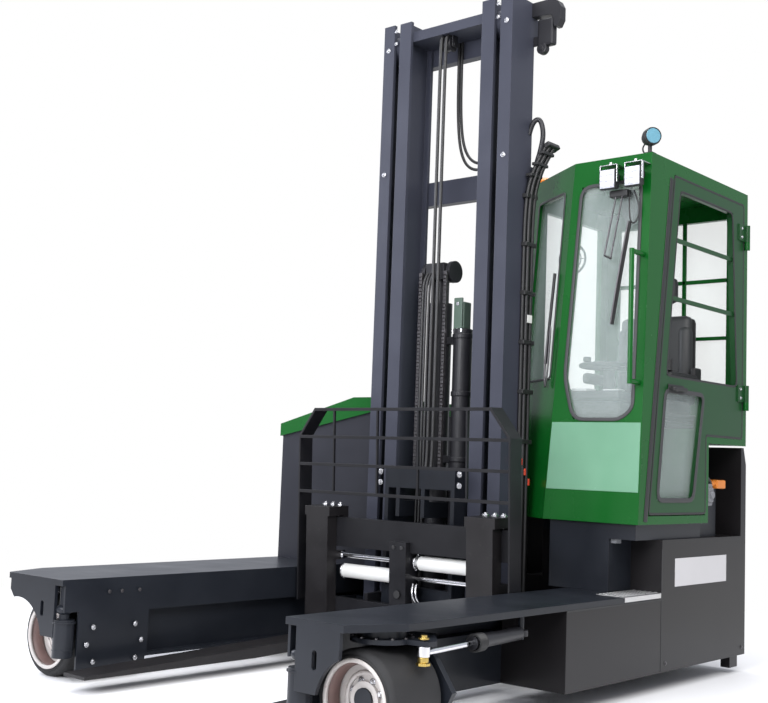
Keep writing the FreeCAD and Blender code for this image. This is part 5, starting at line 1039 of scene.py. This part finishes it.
# Rear and hood: lights, black bars of painted shade in the air slots, handles and a towing pin
def add_rear():
    lamp_x = 1.06
    rear_lamps = [
        ("rear_lamp_bodies", "trim_black", 0.055, -0.001, 0.012, 0.76, 0.9, 0.006),
        ("rear_lamp_red", "plug_red", 0.046, 0.01, 0.018, 0.832, 0.892, 0.005),
        ("rear_lamp_clear", "lamp_glass", 0.046, 0.01, 0.018, 0.768, 0.824, 0.005),
    ]
    for name, paint, half, start, end, foot, head, bevel in rear_lamps:
        near, far = BACK + start, BACK + end
        corners = [((x - half, near, foot), (x + half, far, head), bevel) for x in (-lamp_x, lamp_x)]
        blocks(name, corners, paint)
    # black bars on the hood's rear face where its air slots are: painted shade inside the slots
    heights = [0.86 + 0.03 * k for k in range(8)]
    slots = [((-0.96, BACK - 0.001, z), (-0.62, BACK + 0.004, z + 0.012), 0.002) for z in heights]
    blocks("hood_air_slot_shade", slots, "trim_black")
    seams = [
        ((-1.168, 0.86, 1.06), (-1.152, 0.98, 1.1), 0.004),
        ((-1.1575, 0.6, 0.64), (-1.152, 0.606, 1.13), 0.001),
        ((-1.1575, 1.2, 0.64), (-1.152, 1.206, 1.13), 0.001),
    ]
    blocks("hood_handle_and_seams", seams, "trim_black")
    bm = bmesh.new()
    block(bm, (-0.07, BACK - 0.001, 0.3), (0.07, BACK + 0.012, 0.42), 0.004)
    block(bm, (-0.05, BACK + 0.01, 0.33), (0.05, BACK + 0.034, 0.345), 0.003)
    block(bm, (-0.05, BACK + 0.01, 0.375), (0.05, BACK + 0.034, 0.39), 0.003)
    disc(bm, (0.0, BACK + 0.02, 0.365), 0.012, 0.08, "z", 20, bevel=0.002)
    add("towing_pin", bm, "frame_paint")


add_wheels()
add_seals()
add_cab_front()
add_lamps()
add_door_details()
add_seat()
add_console()
add_lift_hoses()
add_side_pipe()
add_rail_hoses()
add_carriage()
add_arms()
add_boots()
add_near_side()
add_rear()


# Camera at the photo's place
CAM_AT = Vector((3.863, -4.579, 1.032))
CAM_YAW = math.radians(41.12)
CAM_PITCH = math.radians(5.351)
CAM_ROLL = math.radians(2.132)
CAM_LENS = 55.45
CAM_SENSOR = 36
CAM_NEAR = 0.05


def add_camera():
    flat = math.cos(CAM_PITCH)
    ahead = Vector((-math.sin(CAM_YAW) * flat, math.cos(CAM_YAW) * flat, math.sin(CAM_PITCH)))
    level = Vector((math.cos(CAM_YAW), math.sin(CAM_YAW), 0))
    rise = level.cross(ahead)
    right = level * math.cos(CAM_ROLL) + rise * math.sin(CAM_ROLL)
    up = rise * math.cos(CAM_ROLL) - level * math.sin(CAM_ROLL)
    data = bpy.data.cameras.new("camera")
    data.lens = CAM_LENS
    data.sensor_width = CAM_SENSOR
    data.clip_start = CAM_NEAR
    cam = placed("camera", data)
    turn = Matrix((right, up, -ahead)).transposed()
    cam.matrix_world = Matrix.Translation(CAM_AT) @ turn.to_4x4()
    bpy.context.scene.camera = cam


# Floor and light
SKY = (0.62, 0.64, 0.7, 1)
BACKDROP = (1.0, 1.0, 1.0, 1)
FLOOR_COLOUR = (0.93, 0.93, 0.94, 1)
FLOOR_ROUGH = 0.55
FLOOR_REACH = 14
FADE_FROM, FADE_TO = 2.2, 4.2


def area_light(name, place, aim, size, power, tint=(1, 1, 1)):
    data = bpy.data.lights.new(name, "AREA")
    data.shape = "RECTANGLE"
    data.size, data.size_y = size
    data.energy = power
    data.color = tint
    lamp = placed(name, data)
    way = Vector(aim) - Vector(place)
    lamp.matrix_world = Matrix.Translation(place) @ way.to_track_quat("-Z", "Y").to_matrix().to_4x4()
    return lamp


def add_world():
    """A white background for the camera, and a softer sky that lights the truck."""
    world = bpy.data.worlds.new("studio")
    bpy.context.scene.world = world
    world.use_nodes = True
    nodes, links = world.node_tree.nodes, world.node_tree.links
    path = nodes.new("ShaderNodeLightPath")
    seen = node(nodes, "Mix", "RGBA", A=SKY, B=BACKDROP)
    links.new(path.outputs["Is Camera Ray"], seen.inputs["Factor"])
    links.new(seen.outputs["Result"], nodes["Background"].inputs["Color"])


def add_floor():
    """A pale floor that fades into the white background far from the truck."""
    floor = bpy.data.meshes.new("floor")
    r = FLOOR_REACH
    floor.from_pydata([(-r, -r, 0), (r, -r, 0), (r, r, 0), (-r, r, 0)], [], [(0, 1, 2, 3)])
    ground = placed("floor", floor)
    pale, nodes, links, shader = new_material("floor_pale", Base_Color=FLOOR_COLOUR, Roughness=FLOOR_ROUGH)
    place = nodes.new("ShaderNodeTexCoord")
    far = nodes.new("ShaderNodeVectorMath")
    far.operation = "LENGTH"
    links.new(place.outputs["Object"], far.inputs[0])
    fade = node(nodes, "MapRange", From_Min=FADE_FROM, From_Max=FADE_TO)
    links.new(far.outputs["Value"], fade.inputs["Value"])
    glow = nodes.new("ShaderNodeEmission")
    mixed = nodes.new("ShaderNodeMixShader")
    links.new(fade.outputs["Result"], mixed.inputs["Fac"])
    links.new(shader.outputs["BSDF"], mixed.inputs[1])
    links.new(glow.outputs["Emission"], mixed.inputs[2])
    links.new(mixed.outputs["Shader"], nodes["Material Output"].inputs["Surface"])
    floor.materials.append(pale)
    return ground


def add_stage():
    lamps = [
        area_light("key", (4.6, -2.6, 5.2), (0.2, 0, 1.2), (3.0, 3.0), 250, (1.0, 0.98, 0.95)),
        area_light("front", (0.6, -6.4, 3.4), (0.2, 0, 1.3), (4.5, 3.0), 390, (0.95, 0.96, 1.0)),
        area_light("left", (-5.2, -1.6, 3.6), (0, 0, 1.2), (3.0, 3.5), 260, (0.9, 0.92, 1.0)),
        area_light("top", (0.2, 0.6, 6.6), (0, 0, 0), (5.0, 5.0), 300),
    ]
    add_floor()
    view = bpy.context.scene.view_settings
    view.view_transform = "Standard"
    view.look = "None"


add_camera()
add_world()
add_stage()
